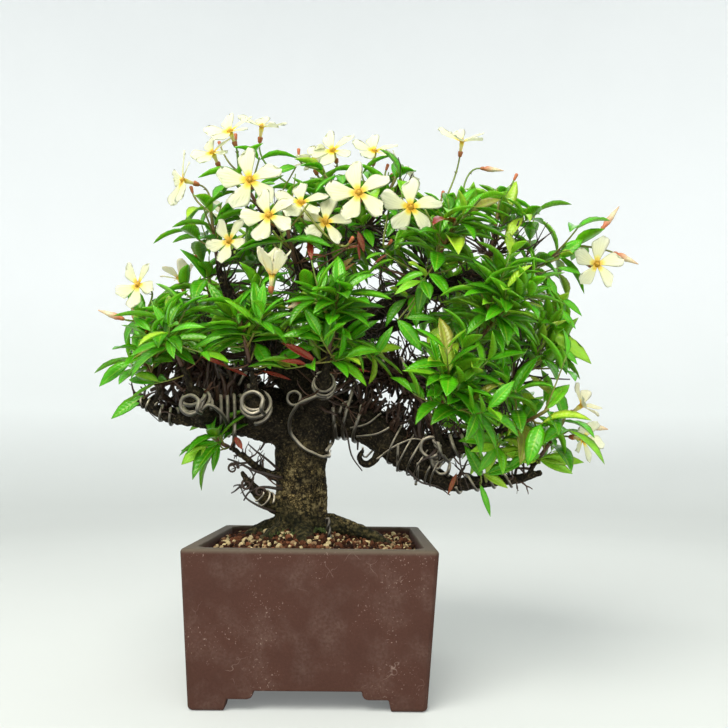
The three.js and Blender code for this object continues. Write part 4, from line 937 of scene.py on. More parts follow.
def petal_finish(settings):
    """Cream petals with a yellow throat, an orange star and faint veins."""
    finish = Finish("petal", Roughness=0.55, Specular_IOR_Level=0.3, Subsurface_Weight=0.5,
                    Subsurface_Scale=0.004, Subsurface_Radius=(1.0, 0.95, 0.7))
    cream, throat = settings.cream, settings.throat
    across = finish.mark("across")
    side = finish.sums("ABSOLUTE", across)
    pointed = finish.sums("ADD", finish.mark("out"), finish.sums("MULTIPLY", side, 0.07))
    colour = finish.ramp(pointed, (0.0, tinted(throat, 0.7)), (0.09, throat), (0.17, (0.86, 0.55, 0.012)),
                         (0.23, (0.88, 0.76, 0.12)), (0.31, cream), (1.0, (0.74, 0.76, 0.47)))
    veins = finish.sums("SINE", finish.sums("MULTIPLY", across, 21.0))
    shade = finish.ramp(veins, (0.0, 0.95), (1.0, 1.0))
    aged = finish.mix(finish.mark("tint"), colour, (0.86, 0.62, 0.3))
    finish.set("Base Color", finish.shaded(aged, shade))
    finish.bump(veins, 0.00006, 0.5, finish.bump(finish.noise(0.003, 2), 0.0003, 0.4))
    return finish.material


# Pot and soil

# The dark bed under the grains: its cells along a side, how far it narrows to its foot and lies under them
BED_CELLS = 26
BED_TAPER = 4.5
BED_DEPTH = 1.6
BED_TINT = 0.15


def pot_piece(settings):
    """The pot's own solid with its fired edges rounded."""
    shell = bmesh.new()
    shell.from_mesh(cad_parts["pot"].data)
    bmesh.ops.remove_doubles(shell, verts=shell.verts, dist=1e-6)
    bmesh.ops.dissolve_limit(shell, angle_limit=0.02, verts=shell.verts, edges=shell.edges)
    mesh = bpy.data.meshes.new("pot_body")
    shell.to_mesh(mesh)
    shell.free()
    mesh.materials.clear()
    mesh.materials.append(clay_finish(settings))
    piece = linked("pot_body", mesh)
    rounding = {"width": settings.arris, "segments": 3, "limit_method": "ANGLE", "angle_limit": 0.4,
                "harden_normals": True}
    settled(piece, ("BEVEL", rounding), ("WEIGHTED_NORMAL", {"keep_sharp": True}))
    return dress(piece, ["pot"])


def mound_height(x, y):
    """The height of the soil's surface, without its grains."""
    away = (x - MOUND_CENTRE[0]) ** 2 + (y - MOUND_CENTRE[1]) ** 2
    return SOIL_EDGE + MOUND * exp(-away / (2 * MOUND_SPREAD**2))


def grain_shape(fineness):
    """Corners and faces of a round grain with a radius of one."""
    ball = bmesh.new()
    bmesh.ops.create_icosphere(ball, subdivisions=fineness, radius=1)
    points = np.array([vertex.co for vertex in ball.verts])
    faces = np.array([[vertex.index for vertex in face.verts] for face in ball.faces])
    ball.free()
    return points, faces


def random_turn(random):
    """A turn in any direction, as a matrix of rows."""
    axis = Vector(jitter(random)).normalized()
    return np.array(Matrix.Rotation(random() * tau, 3, axis))


def chipped(points, random, flats=5):
    """A round grain cut to flats, so that it looks broken."""
    shape = points.copy()
    for _ in range(flats):
        way = unit(jitter(random))
        over = shape @ way - (0.55 + 0.3 * random())
        shape -= np.outer(np.maximum(over, 0), way)
    return shape


def soil_piece(settings):
    """Loose grains over a dark bed."""
    form = Form("tint")
    half = RIM / 2 - WALL - SEAT_GAP
    low = half - BED_TAPER
    wide = BED_CELLS + 1
    xs = np.linspace(-half, half, wide)
    top = [[x, y, mound_height(x, y) - BED_DEPTH] for y in xs for x in xs]
    base = [[x * low / half, y * low / half, FLOOR_TOP + SEAT_GAP] for y in xs for x in xs]
    quads = grid(wide, wide)
    form.add(top, [quads], tint=BED_TINT)
    form.add(base, [quads[:, ::-1]], tint=BED_TINT)
    last, corner = wide**2 - 1, wide * BED_CELLS
    border = np.array([*range(BED_CELLS), *range(BED_CELLS, last, wide), *range(last, corner, -1),
                       *range(corner, 0, -wide)])
    nearby = np.roll(border, -1)
    form.faces += np.stack([nearby, border, border + len(top), nearby + len(top)], -1).tolist()
    form.finishes += [0] * len(border)
    random = random_from(21)
    shapes = [grain_shape(1), grain_shape(2)]
    pitch, mean = settings.pitch / MM, settings.grain / MM
    rows = int(2 * half / pitch)
    stray = 0.4
    for layer in range(2):
        for i in range(rows):
            for j in range(rows):
                x = -half + pitch * (i + 0.5 * (j % 2) + stray * (random() - 0.5) + stray * layer)
                y = -half + pitch * (j + stray * (random() - 0.5) + stray * layer)
                radius = mean * (0.6 + 0.9 * random() ** 2)
                limit = half - radius * 0.9
                if max(abs(x), abs(y)) > limit or (layer and random() < 0.5):
                    continue
                ball, faces = shapes[radius > mean * 1.1]
                height = mound_height(x, y) - 0.3 + layer * 1.2 + (random() - 0.5) * 0.9
                shape = chipped(ball, random) * radius * (1 + 0.4 * jitter(random))
                form.add(shape @ random_turn(random).T + [x, y, height], [faces], tint=random())
    piece = form.build("soil_grains", [grain_finish(settings)], "soil", ["soil"])
    for polygon in piece.data.polygons[len(quads) * 2:]:
        polygon.use_smooth = False
    return piece


def moss_piece():
    """Moss on the soil round the foot of the trunk and on its roots."""
    form = Form("tint")
    random = random_from(31)
    spike = np.array([[0.45, 0, 0], [-0.22, 0.39, 0], [-0.22, -0.39, 0], [0, 0, 1.5]])
    faces = [np.array([[0, 1, 3], [1, 2, 3], [2, 0, 3], [0, 2, 1]])]
    for _ in range(70):
        angle = random() * tau
        away = 13 + 9 * random() ** 1.6
        cx, cy = -8 + away * cos(angle), 5 + away * 0.9 * sin(angle)
        for _ in range(26):
            x, y = cx + (random() - 0.5) * 5, cy + (random() - 0.5) * 5
            lean = np.array([(random() - 0.5) * 0.9, (random() - 0.5) * 0.9, 1.0])
            shape = spike * [1, 1, 0.5 + 0.7 * random()]
            shape = shape + np.outer(shape[:, 2], lean - UP)
            form.add(shape + [x, y, mound_height(x, y) + 0.6 + 0.9 * random()], faces, tint=random())
    return form.build("moss", [moss_finish()], "soil")


# Wood


def bark_relief(angles, k):
    """Furrows and swellings of the old bark, as in the part's source."""
    return 1 + 0.045 * np.sin(3 * angles + 1.7 * k) + 0.035 * np.sin(5 * angles - 2.3 * k)


def wood_beads():
    """A tree of places along every limb, and the limb's radius at each."""
    places, radii = [], []
    for limb in [*LIMBS.values(), *TWIGS.values()]:
        path, thick = limb.route(limb.spans * 6)
        places += list(path)
        radii += list(thick)
    beads = kdtree.KDTree(len(places))
    for k, place in enumerate(places):
        beads.insert(place, k)
    beads.balance()
    return beads, radii


BEADS, BEAD_RADII = wood_beads()


def bark_lift(place, thick):
    """How far the bark stands out at a place, as a share of the furrow's depth and as a length."""
    x, y, z = place
    plates = abs(noise.noise((x / 2.6, y / 2.6, z / 6.5)))
    lumps = noise.noise((x / 9, y / 9, z / 11))
    grit = noise.noise((x / 0.9, y / 0.9, z / 0.9))
    smooth = abs(x - TRUNK_X) <= 15 and z >= 76
    crags = noise.noise((x / 2.3, y / 2.3, z / 2.3)) * (0.3 if smooth else 0.9)
    return thick * (1.1 * lumps - 1.7 * plates + 0.5), min(thick * 1.6, 1) * (0.16 * grit + crags)


def tree_piece(settings):
    """Trunk, roots, branches and twigs fused into one skin, with bark in relief."""
    form = Form()
    random = random_from(61)
    gnarls = list(KNOBS)
    for name, limb in LIMBS.items():
        if name == "trunk":
            path, radii = limb.route(limb.spans * 4)
            form.add(*tube(path, radii, 32, relief=lambda angles, k: bark_relief(angles, k / 4)))
            continue
        form.add(*tube(*limb.route(limb.spans * 3), 18))
        for _ in range(0 if name.startswith("root") else GNARLS_PER_SPAN * limb.spans):
            t = 0.08 + 0.9 * random()
            out = unit(jitter(random))
            thick = limb.radius(t)
            gnarls.append([limb.place(t) + out * thick * 0.5, thick * (0.5 + 0.22 * random())])
    for twig in TWIGS.values():
        path, radii = twig.route(9)
        form.add(*tube(path, radii * 1.05, 10))
    ball, faces = grain_shape(2)
    for centre, radius in gnarls:
        form.add(ball * radius + centre, [faces])
    piece = form.build("bark", [bark_finish(settings)], "bark", ["tree"])
    settled(piece, ("REMESH", {"mode": "VOXEL", "voxel_size": settings.voxel, "use_smooth_shade": True}),
            ("SMOOTH", {"factor": 0.5, "iterations": 3}))
    mesh = piece.data
    count = len(mesh.vertices)
    places, normals = np.zeros(count * 3), np.zeros(count * 3)
    mesh.vertices.foreach_get("co", places)
    mesh.vertex_normals.foreach_get("vector", normals)
    places = places.reshape(-1, 3)
    furrow = settings.furrow / MM
    lift = np.zeros(count)
    for k, place in enumerate((places - MIDDLE) / MM):
        furrows, crags = bark_lift(place, min(BEAD_RADII[BEADS.find(place)[1]] / 9, 1.0))
        lift[k] = furrow * furrows + crags
    moved = places + normals.reshape(-1, 3) * lift[:, None] * MM
    mesh.vertices.foreach_set("co", moved.ravel())
    mesh.update()
    return piece


def crooked(form, random, start, way, length, thick, tint, forks):
    """A crooked twig that may fork."""
    path = [np.array(start)]
    for _ in range(5):
        way = unit(way + 0.8 * jitter(random))
        path.append(path[-1] + way * length / 5)
    form.add(*tube(path, np.linspace(thick, thick * 0.4, 6), 4 if thick < 0.7 else 6), tint=tint)
    if forks and random() < 0.7:
        k = 1 + int(random() * 3)
        side = unit(path[k] - path[k - 1]) + 1.3 * np.array([random() - 0.5, random() - 0.5, random() - 0.3])
        crooked(form, random, path[k], unit(side), length * 0.55, thick * 0.65, tint, forks - 1)


def fine_twigs_piece():
    """Dead twigs, thickets of them, and curled and crossing shoots too thin for the fused wood."""
    form = Form("tint")
    random = random_from(41)
    bare = ("low_twig", "left", "right", "left_stub", "inner_stub")
    for name, limb in LIMBS.items():
        if name.startswith("root") or name in ("trunk", "hook", "low_knob"):
            continue
        count = TWIGS_PER_SPAN * limb.spans // (3 if name in bare else 1)
        for _ in range(count):
            t = 0.2 + 0.8 * random()
            out = unit([random() - 0.5, random() - 0.5, random() * 1.2 - 0.35])
            start = limb.place(t) + out * limb.radius(t) * 0.7
            length = (6 if name in bare else 9) + 12 * random()
            crooked(form, random, start, out, length, 0.4 + 0.4 * random(), 0.8 + 0.2 * random(), 2)
    for low, high, count, thick in THICKETS:
        for _ in range(count):
            target = low + (np.array(high) - low) * [random(), random(), random()]
            start, _, away = BEADS.find(target)
            if THICKET_REACH[0] < away < THICKET_REACH[1]:
                start = np.array(start)
                thickness = thick * (0.4 + 0.6 * random())
                tint = 0.9 + 0.1 * random()
                crooked(form, random, start, (target - start) / away, away * 1.25, thickness, tint, 2)
    for centre, radius, thick, turns, lean in CURLS:
        steps = int(14 * turns)
        path = []
        for k in range(steps + 1):
            angle = tau * turns * k / steps
            reach = radius * (1 - 0.55 * k / steps)
            path.append([reach * cos(angle), lean * k / steps, reach * sin(angle)])
        form.add(*tube(np.array(path) + centre, np.linspace(thick, thick * 0.5, steps + 1), 8), tint=0.95)
    for points, thick in TANGLE:
        form.add(*tube(smooth_path(points, 14), np.linspace(thick, thick * 0.45, 15), 7), tint=1.0)
    return form.build("fine_twigs", [stem_finish()], "bark")


# Wires

WIRE_SIDES = 10
# Further forwards than any bark
IN_FRONT = -70.0


class Bark:
    """The bark's surface, for laying wires on."""

    def __init__(self, piece):
        graph = bpy.context.evaluated_depsgraph_get()
        self.tree = BVHTree.FromObject(piece, graph)

    def reach(self, centre, out, radius):
        """How far the bark is from a limb's axis in one direction."""
        far = radius * 1.9 + 2.5
        start = row(centre + out * far)
        hit = self.tree.ray_cast(Vector(start), Vector(-out), far * MM)
        return far - hit[3] / MM if hit[0] is not None else radius

    def seated(self, points, wire):
        """Free points of a wire, moved out where they would lie in the bark."""
        kept = []
        for point in points:
            near, normal, _, gap = self.tree.find_nearest(Vector(row(point)))
            away = np.array(near) / MM - MIDDLE / MM
            normal = np.array(normal)
            inside = (point - away) @ normal < 0
            if inside or gap / MM < wire * 1.05:
                point = away + normal * wire * 1.08
            kept.append(point)
        return kept

    def laid(self, points, wire):
        """A run of wire as it lies on the bark, seen from the front."""
        depths = []
        for x, _, z in points:
            hit = self.tree.ray_cast(Vector(row([x, IN_FRONT, z])), Vector((0, 1, 0)), 0.12)
            depths.append(IN_FRONT + hit[3] / MM - wire if hit[0] is not None else 0.0)
        padded = np.pad(depths, 2, mode="edge")
        for k, point in enumerate(points):
            point[1] = padded[k:k + 5].min() * 0.5 + padded[k:k + 5].mean() * 0.5
        return points


def wound(bark, coil, steps_a_turn):
    """The places of a wire wound round a limb, seated on its bark."""
    host, start, end, turns, phase, wire = coil
    limb = LIMBS[host]
    steps = int(turns * steps_a_turn)
    ways, centres, reaches = [], [], []
    for k in range(steps + 1):
        t = start + (end - start) * k / steps
        along = limb.heading(t)
        across = np.array([0, -1, 0.01])
        across = unit(across - along * (across @ along))
        angle = phase + tau * turns * k / steps
        out = across * cos(angle) + np.cross(along, across) * sin(angle)
        ways.append(out)
        centres.append(limb.place(t))
        reaches.append(bark.reach(centres[-1], out, limb.radius(t)))
    padded = np.pad(reaches, 3, mode="edge")
    kept = np.array([padded[k:k + 7].max() * 0.5 + padded[k:k + 7].mean() * 0.5 for k in range(len(reaches))])
    return np.array(centres) + np.array(ways) * (kept + wire * 1.02)[:, None]


def coil_pieces(settings, bark):
    """The training wires: the frame's coils with the runs that lead to them, more coils, and loose runs."""
    metal = wire_finish("dull_wire", settings.metal, 0.32)
    for name, coil in COILS.items():
        first, last, left_out = LEADS.get(name, ([], [], 0))
        wire = coil[-1]
        path = wound(bark, coil, settings.steps)[left_out:]
        if first:
            lead = smooth_path([*first, path[0]], 5 * len(first))[:-1]
            path = np.concatenate([bark.seated(lead, wire), path])
        if last:
            lead = smooth_path([path[-1], *last], 5 * len(last))[1:]
            path = np.concatenate([path, bark.seated(lead, wire)])
        form = Form()
        form.add(*tube(path, wire, WIRE_SIDES))
        form.build(name.replace("wire", "coil"), [metal], "wire", [name])
    form = Form()
    for coil in EXTRA_COILS:
        form.add(*tube(wound(bark, coil, settings.steps), coil[-1], WIRE_SIDES))
    for points, wire in LAID_RUNS:
        form.add(*tube(bark.laid(smooth_path(points, 8 * len(points)), wire), wire, WIRE_SIDES))
    for centre, radius, turns, wire, foot in WIRE_LOOPS:
        angles = np.linspace(0, tau * turns, int(26 * turns)) - 0.6
        loop = [np.array(centre) + [radius * cos(a), 0.35 * a, radius * sin(a)] for a in angles]
        form.add(*tube(bark.seated(smooth_path([foot, *loop[::4]], 60), wire), wire, WIRE_SIDES))
    form.build("loose_wire_runs", [metal], "wire")


def anchor_piece(settings):
    """The twisted end of the wire that holds the root ball."""
    form = Form()
    foot, top, lean, turns, wire = 52.0, 76.6, 0.12, 3.2, 0.62
    for strand in (0, pi):
        path = []
        for share in np.linspace(0, 1, 61):
            angle = strand + tau * turns * share
            z = foot + (top - foot) * share
            path.append([9 - (z - 50) * lean + wire * cos(angle), -16 + wire * sin(angle), z])
        form.add(*tube(path, wire, 9))
    dark = wire_finish("dark_wire", tinted(settings.metal, 0.18), 0.5)
    return form.build("anchor_twist", [dark], "dark_wire", ["anchor_wire"])


# Leaves, stems and sprays

# Stations along a blade with their share of its width, and its points across
BLADE = [(-0.07, 0.06), (0.0, 0.1), (0.12, 0.55), (0.28, 0.9), (0.48, 1.0), (0.68, 0.8), (0.86, 0.4),
         (1.0, 0.03)]
ACROSS = np.array([-1, -0.5, 0, 0.5, 1])
LEAF_MARKS = ("tint", "rib", "along", "under")
SHORTEST_FILL, LONGEST_FILL = 5, 26
LEAF_TURNS = (0, 0.35, -0.35, 0.7, -0.7)
# Cells in which a leaf may meet others
FEW_CLASHES = 2
MOST_CLASHES = 7
CROWN_MIDDLE = np.array([8.0, 10.0, 165.0])
LOW_LEAVES = 152.0
# Leaves may stand this far out of the frame's box
BOX_SLACK = 6
BOX_LOW = (np.array(CAD_BOX[0]) - MIDDLE) / MM - BOX_SLACK
BOX_HIGH = (np.array(CAD_BOX[1]) - MIDDLE) / MM + BOX_SLACK
# Tints of leaves that turn bronze and red
BRONZE_TINT = 0.92
RED_TINT = 0.97


def blade_faces():
    """The faces of a closed blade: its upper and lower skins and its two ends."""
    rows, wide = len(BLADE), len(ACROSS)
    upper = np.arange(rows * wide).reshape(rows, wide)
    lower = upper.copy()
    lower[:, 1:-1] = rows * wide + np.arange(rows * (wide - 2)).reshape(rows, wide - 2)
    quads = grid(rows, wide)
    skins = np.stack([upper.ravel()[quads], lower.ravel()[quads][:, [1, 0, 3, 2]]], 1).reshape(-1, 4)
    ends = [[*upper[0, ::-1], *lower[0, 1:-1]], [*upper[-1], *lower[-1, 1:-1][::-1]]]
    return [skins, np.array(ends)]


BLADE_FACES = blade_faces()
BLADE_TIP = len(BLADE) * len(ACROSS) - 1 - len(ACROSS) // 2


def blade(foot, forward, upward, length, width, droop, fold, wave, phase):
    """The points of one arched leaf, folded along its midrib and waved at its edges."""
    side = unit(np.cross(forward, upward))
    normal = np.cross(side, forward)
    s, share = np.array(BLADE).T
    bend = droop * s
    radius = length / droop
    middle = foot + np.outer(radius * np.sin(bend), forward) - np.outer(radius * (1 - np.cos(bend)), normal)
    rise = np.outer(np.cos(bend), normal) + np.outer(np.sin(bend), forward)
    half = share * width / 2
    spread = np.outer(half, ACROSS) * cos(fold)
    lift = np.outer(half, np.abs(ACROSS)) * sin(fold)
    lift += wave * np.outer(np.sin(7 * s + phase) * share, np.abs(ACROSS) ** 2)
    upper = middle[:, None] + spread[..., None] * side + lift[..., None] * rise[:, None]
    depth = np.outer(np.minimum(share * 4, 1), [0.2, 0.5, 0.2])
    lower = upper[:, 1:-1] - depth[..., None] * rise[:, None]
    points = np.concatenate([upper.reshape(-1, 3), lower.reshape(-1, 3)])
    rows = len(BLADE)
    marks = {
        "rib": np.concatenate([np.tile(np.abs(ACROSS), rows), np.tile(np.abs(ACROSS[1:-1]), rows)]),
        "along": np.concatenate([np.repeat(s, len(ACROSS)), np.repeat(s, len(ACROSS) - 2)]),
        "under": np.concatenate([np.zeros(rows * len(ACROSS)), np.ones(rows * (len(ACROSS) - 2))]),
    }
    return points, marks


def in_crown(point):
    """Whether a place lies inside the crown's outline as it is seen from the front."""
    share = (CROWN_PLANE - CAMERA_PLACE[1]) / (point[1] - CAMERA_PLACE[1])
    x = CAMERA_PLACE[0] + (point[0] - CAMERA_PLACE[0]) * share
    z = CAMERA_PLACE[2] + (point[2] - CAMERA_PLACE[2]) * share
    inside = False
    for (x0, z0), (x1, z1) in zip(CROWN, CROWN[1:] + CROWN[:1]):
        if (z0 > z) != (z1 > z) and x < x0 + (z - z0) * (x1 - x0) / (z1 - z0):
            inside = not inside
    return inside


def in_inner(point):
    """Whether a place lies in the open front part of the crown, where its dark twigs show."""
    x, z, wide, high = INNER
    return point[1] < 12 and ((point[0] - x) / wide) ** 2 + ((point[2] - z) / high) ** 2 < 1


class Room:
    """What is already taken, in cells, so that leaves grow beside each other."""

    CELL = 2.0

    def __init__(self):
        self.cells = {}

    def keys(self, points):
        return set(map(tuple, np.round(np.asarray(points) / self.CELL).astype(int).tolist()))

    def empty(self, point, reach):
        """Whether nothing is within some cells of a place."""
        x, y, z = np.round(np.asarray(point) / self.CELL).astype(int).tolist()
        span = range(-reach, reach + 1)
        return not any((x + i, y + j, z + k) in self.cells for i in span for j in span for k in span)

    def clashes(self, points, owner):
        """How many cells belong to another owner, where a flower's count threefold."""
        owners = [self.cells.get(key, owner) for key in self.keys(points)]
        return sum(3 if taken == "flower" else 1 for taken in owners if taken != owner)

    def take(self, points, owner):
        for key in self.keys(points):
            self.cells[key] = owner


def around(frame_at_station, angle):
    """A way square to a station's frame, at an angle round it."""
    _, across, side = frame_at_station
    return across * cos(angle) + side * sin(angle)


class Stem:
    """A stem: its path, and its frame at any share of its length."""

    def __init__(self, start, heading, length, lift, thick, steps, roll):
        ts = np.linspace(0, 1, steps + 1)
        self.path = start + np.outer(length * ts, heading) + np.outer(lift * length * ts**2, UP)
        self.radii = thick * (1 - 0.25 * ts)
        self.length = length
        self.frames = frames_along(self.path, roll)

    def at(self, t):
        """The place and the ways along, across and sideways at a share of the stem."""
        last = len(self.path) - 1
        k = min(int(t * last), last - 1)
        place = self.path[k] + (self.path[k + 1] - self.path[k]) * (t * last - k)
        return place, tuple(ways[k] for ways in self.frames)

    def off(self, t, angle, splay):
        """The place at a share of the stem and a way that leaves it there."""
        place, ways = self.at(t)
        return place, unit(ways[0] * cos(splay) + around(ways, angle) * sin(splay))


class Spray:
    """One leafy spray, grown as in the part's source, and then filled out with finer shoots."""

    def __init__(self, name, index, settings, room):
        _host, _at, seat, heading, reach = SPRAYS[name]
        self.name = name
        self.random = random_from(100 + index)
        self.fine = random_from(900 + index)
        self.room = room
        self.form = Form(*LEAF_MARKS)
        self.reach = reach
        self.shoots = settings.shoots
        self.fills = []
        self.leaf_scale = 0.92 + 0.16 * self.fine()
        self.leaf_breadth = 0.28 if seat[0] < -20 else 0.33
        ahead = unit(heading)
        self.roll = jitter(self.random)
        start = np.array(seat, float) + ahead * (SEAT_GAP + 0.05)
        self.stems = [Stem(start, ahead, reach, STEM_LIFT, STEM, 10, self.roll)]
        for k, (at, share) in enumerate(SHOOTS):
            place, way = self.stems[0].off(at, SIDE_MIDDLE * (3 + 2 * k), SHOOT_SPLAY)
            self.stems.append(Stem(place, way, reach * share, SHOOT_LIFT, SHOOT, 7, self.roll))

    def draw_stem(self, stem, foot_tint, tip_tint, sides=7):
        tints = np.repeat(np.linspace(foot_tint, tip_tint, len(stem.path)), sides)
        tints = np.concatenate([tints, [foot_tint, tip_tint]])
        self.form.add(*tube(stem.path, stem.radii, sides, self.roll), 1, tint=tints)
        self.room.take(stem.path, self.name)

    def grow_leaf(self, stem, t, angle, splay, length, width, droop, tint, owner, free=False):
        """One leaf, turned to the side that has most room, or none where there is none."""
        best = None
        for turn in LEAF_TURNS:
            place, out = stem.off(t, angle + turn, splay + abs(turn) * 0.2)
            upward = UP + stem.at(t)[1][0] * 0.6
            if free:
                upward = upward + unit(place - CROWN_MIDDLE) * 0.7
                inner = in_inner(place)
                if inner and self.fine() < 0.78:
                    return 0
                if (inner or (place[2] < LOW_LEAVES and place[0] < 15)) and self.fine() < 0.07:
                    tint, width = RED_TINT, width * 0.75
            fold = 0.26 + 0.3 * self.fine()
            points, marks = blade(place + out * 0.9, out, upward, length, width, droop, fold,
                                  0.25 * self.fine(), self.fine() * tau)
            clashes = self.room.clashes(points, owner)
            if best is None or clashes < best[0]:
                best = (clashes, points, marks)
            if clashes < FEW_CLASHES:
                break
        clashes, points, marks = best
        if clashes > MOST_CLASHES or (points > BOX_HIGH).any() or (points < BOX_LOW).any():
            return 0
        if free and not in_crown(points[BLADE_TIP]):
            return 0
        self.room.take(points, owner)
        self.form.add(points, BLADE_FACES, 0, tint=tint, **marks)
        return 1

    def grow_source_leaves(self):
        """The leaves that the spray's solid has, at their own places."""
        for index, stem in enumerate(self.stems):
            for k, t in enumerate(PAIRS[index]):
                last = t > 0.9
                for half in (0, 1):
                    length = (END_LEAF_LENGTH if last else LEAF_LENGTH) + self.random() * LENGTH_SPREAD
                    width = length * (LEAF_WIDTH + self.random() * WIDTH_SPREAD)
                    splay = (END_LEAF_SPLAY if last else LEAF_SPLAY) + self.random() * 0.25
                    droop = LEAF_DROOP * (1 + self.random())
                    angle = SIDE_MIDDLE * (1 + 2 * (k + 2 * half))
                    self.grow_leaf(stem, t, angle, splay, length, width, droop, self.leaf_tint(0.1 * last),
                                   f"{self.name} {index} {k}")

    def leaf_tint(self, younger=0.0):
        """A leaf's age colour: mostly green, now and then bronze or red."""
        draw = self.fine()
        if draw > 0.996:
            return RED_TINT
        if draw > 0.984:
            return BRONZE_TINT
        return min(0.04 + 0.56 * self.fine() + younger + 0.3 * (draw > 0.82), 0.86)

    def grow_fine_shoots(self):
        """Side shoots with pairs of leaves, smaller towards the tip."""
        for k in range(self.shoots):
            t = 0.1 + 0.86 * (k + 0.2 + 0.6 * self.fine()) / self.shoots
            host = self.stems[0] if k % 3 or len(self.stems) < 2 else self.stems[1 + (k // 3) % 2]
            place, way = host.off(t, 2.4 * k + 0.8 * self.fine(), 0.6 + 0.45 * self.fine())
            way = unit(way + UP * 0.4 + unit(place - CROWN_MIDDLE) * 0.25)
            length = min(max(self.reach * (0.34 + 0.36 * self.fine()), 9), 21)
            stem = Stem(place, way, length, 0.15 + 0.3 * self.fine(), 0.42, 6, self.roll)
            owner = f"{self.name} fine {k}"
            if in_crown(stem.path[-1]) and self.leafy(stem, 2 + int(length / 6), 0.24, owner):
                self.draw_stem(stem, 0.5, 0.1, 5)
                self.fills.append(stem)

    def leafy(self, stem, pairs, first, owner):
        """Pairs of leaves along a fine stem, from a share of its length to its tip."""
        turned = self.fine() * pi
        grown = 0
        for pair in range(pairs):
            last = pair == pairs - 1
            share = first + (1 - first) * (pair + 0.3 * self.fine() * (not last)) / max(pairs - 1, 1)
            for half in (0, 1):
                length = (17.5 - 4.5 * share - 1.5 * last + 5.0 * self.fine()) * self.leaf_scale
                splay = (0.4 if last else 0.7) + 0.35 * self.fine()
                width = length * (self.leaf_breadth + 0.12 * self.fine())
                droop = 0.15 + 0.55 * self.fine()
                tint = self.leaf_tint(0.1 * share + 0.14 * last)
                grown += self.grow_leaf(stem, share, turned + (pair + 2 * half) * pi / 2, splay, length,
                                        width, droop, tint, f"{owner} {pair}", True)
        return grown

    def grow_to(self, start, target):
        """A filling shoot from a stem to a gap, with leaves in pairs along its outer part."""
        way = target - start
        away = np.linalg.norm(way)
        stem = Stem(start, way / away, away, 0.12, 0.4, 6, self.roll)
        grown = self.leafy(stem, 2 + int(away > 11), 0.55, f"{self.name} fill {len(self.fills)}")
        if grown:
            self.draw_stem(stem, 0.5, 0.15, 5)
            self.fills.append(stem)
        return grown

    def stalk_from(self, foot, outward):
        """A stalk from the nearest stem to the foot of a flower or bud."""
        ends = [stem.at(t)[0] for stem in self.stems for t in (0.55, 0.8, 0.97)]
        start = min(ends, key=lambda end: np.linalg.norm(end - foot))
        away = np.linalg.norm(foot - start)
        knee = foot - outward * away * 0.35
        t = np.linspace(0, 1, 10)[:, None]
        path = start * (1 - t) ** 2 + knee * 2 * t * (1 - t) + foot * t**2
        self.form.add(*tube(path, np.linspace(STALK, STALK_TIP, 10), 7), 1, tint=0.05 + 0.3 * self.fine())
        self.room.take(path, self.name)
        bracts = path[6]
        for side in (-1, 1):
            way = unit(np.cross(outward, UP + 0.01) * side + outward)
            tip = [bracts + way * reach for reach in (0, 0.9, 1.8)]
            self.form.add(*tube(tip, [0.35, 0.3, 0.08], 5), 1, tint=0.4)

    def calyx(self, foot, outward, length=CALYX_LENGTH, radius=CALYX_RADIUS, tint=0.2):
        """A small cup of five lobes at the foot of a flower."""
        profile = [(0, 0.4), (0.12, 0.75), (0.5, 0.92), (0.85, 1.0), (1.0, 0.82)]
        path = [foot + outward * length * s for s, _ in profile]
        cup = tube(path, [radius * 0.88 * share for _, share in profile], 15,
                   relief=lambda angles, k: 1 + (0.16 if k > 2 else 0.05) * np.cos(PETALS * angles))
        self.form.add(*cup, 2, tint=tint)

    def bud(self, foot, tip, radius):
        """A furled bud, twisted as the petals are."""
        along = tip - foot
        length = np.linalg.norm(along)
        s = np.linspace(0, 1, 14)
        shape = np.interp(s, [0, 0.12, 0.3, 0.55, 0.8, 1], [0.4, 0.55, 1.0, 0.8, 0.45, 0.12])
        furled = tube(foot + np.outer(s, along), radius * shape, 15,
                      relief=lambda angles, k: 1 + 0.14 * np.cos(PETALS * (angles + 3.2 * s[k])))
        tints = np.interp(s, [0, 0.25, 0.6, 1], [0.3, 0.6, 0.95, 0.75])
        self.form.add(*furled, 2, tint=np.concatenate([np.repeat(tints, 15), [0.3, 0.75]]))
        self.calyx(foot - along / length * 0.4, along / length, min(length * 0.2, 2.0), radius * 0.75, 0.1)


def fill_gaps(sprays, room, tries):
    """Grows shoots into the gaps that the sprays leave inside the crown."""
    random = random_from(77)
    names = list(sprays)
    starts, owners = [], []
    for name, spray in sprays.items():
        starts += [stem.at(t)[0] for stem in spray.stems for t in (0.3, 0.6, 0.9)]
        owners += [name] * (3 * len(spray.stems))
    for name, twig in TWIGS.items():
        starts += [twig.place(t) for t in (0.35, 0.65, 0.9)]
        owners += [name] * 3
    starts = np.array(starts)
    for _ in range(tries):
        name = names[int(random() * len(names))]
        spray = sprays[name]
        base = spray.stems[0].at(random())[0]
        target = base + unit(jitter(random)) * 30 * random() ** 0.6
        if not in_crown(target) or not room.empty(target, 2):
            continue
        away = np.linalg.norm(starts - target, axis=1)
        nearest = int(away.argmin())
        if not SHORTEST_FILL < away[nearest] < LONGEST_FILL:
            continue
        host = sprays[owners[nearest]]
        if host.grow_to(starts[nearest], target):
            starts = np.concatenate([starts, [host.fills[-1].at(0.7)[0]]])
            owners.append(owners[nearest])


def turn_to(way):
    """The turn from straight up to a way, as a matrix of rows."""
    return np.array(Vector((0, 0, 1)).rotation_difference(Vector(way)).to_matrix())


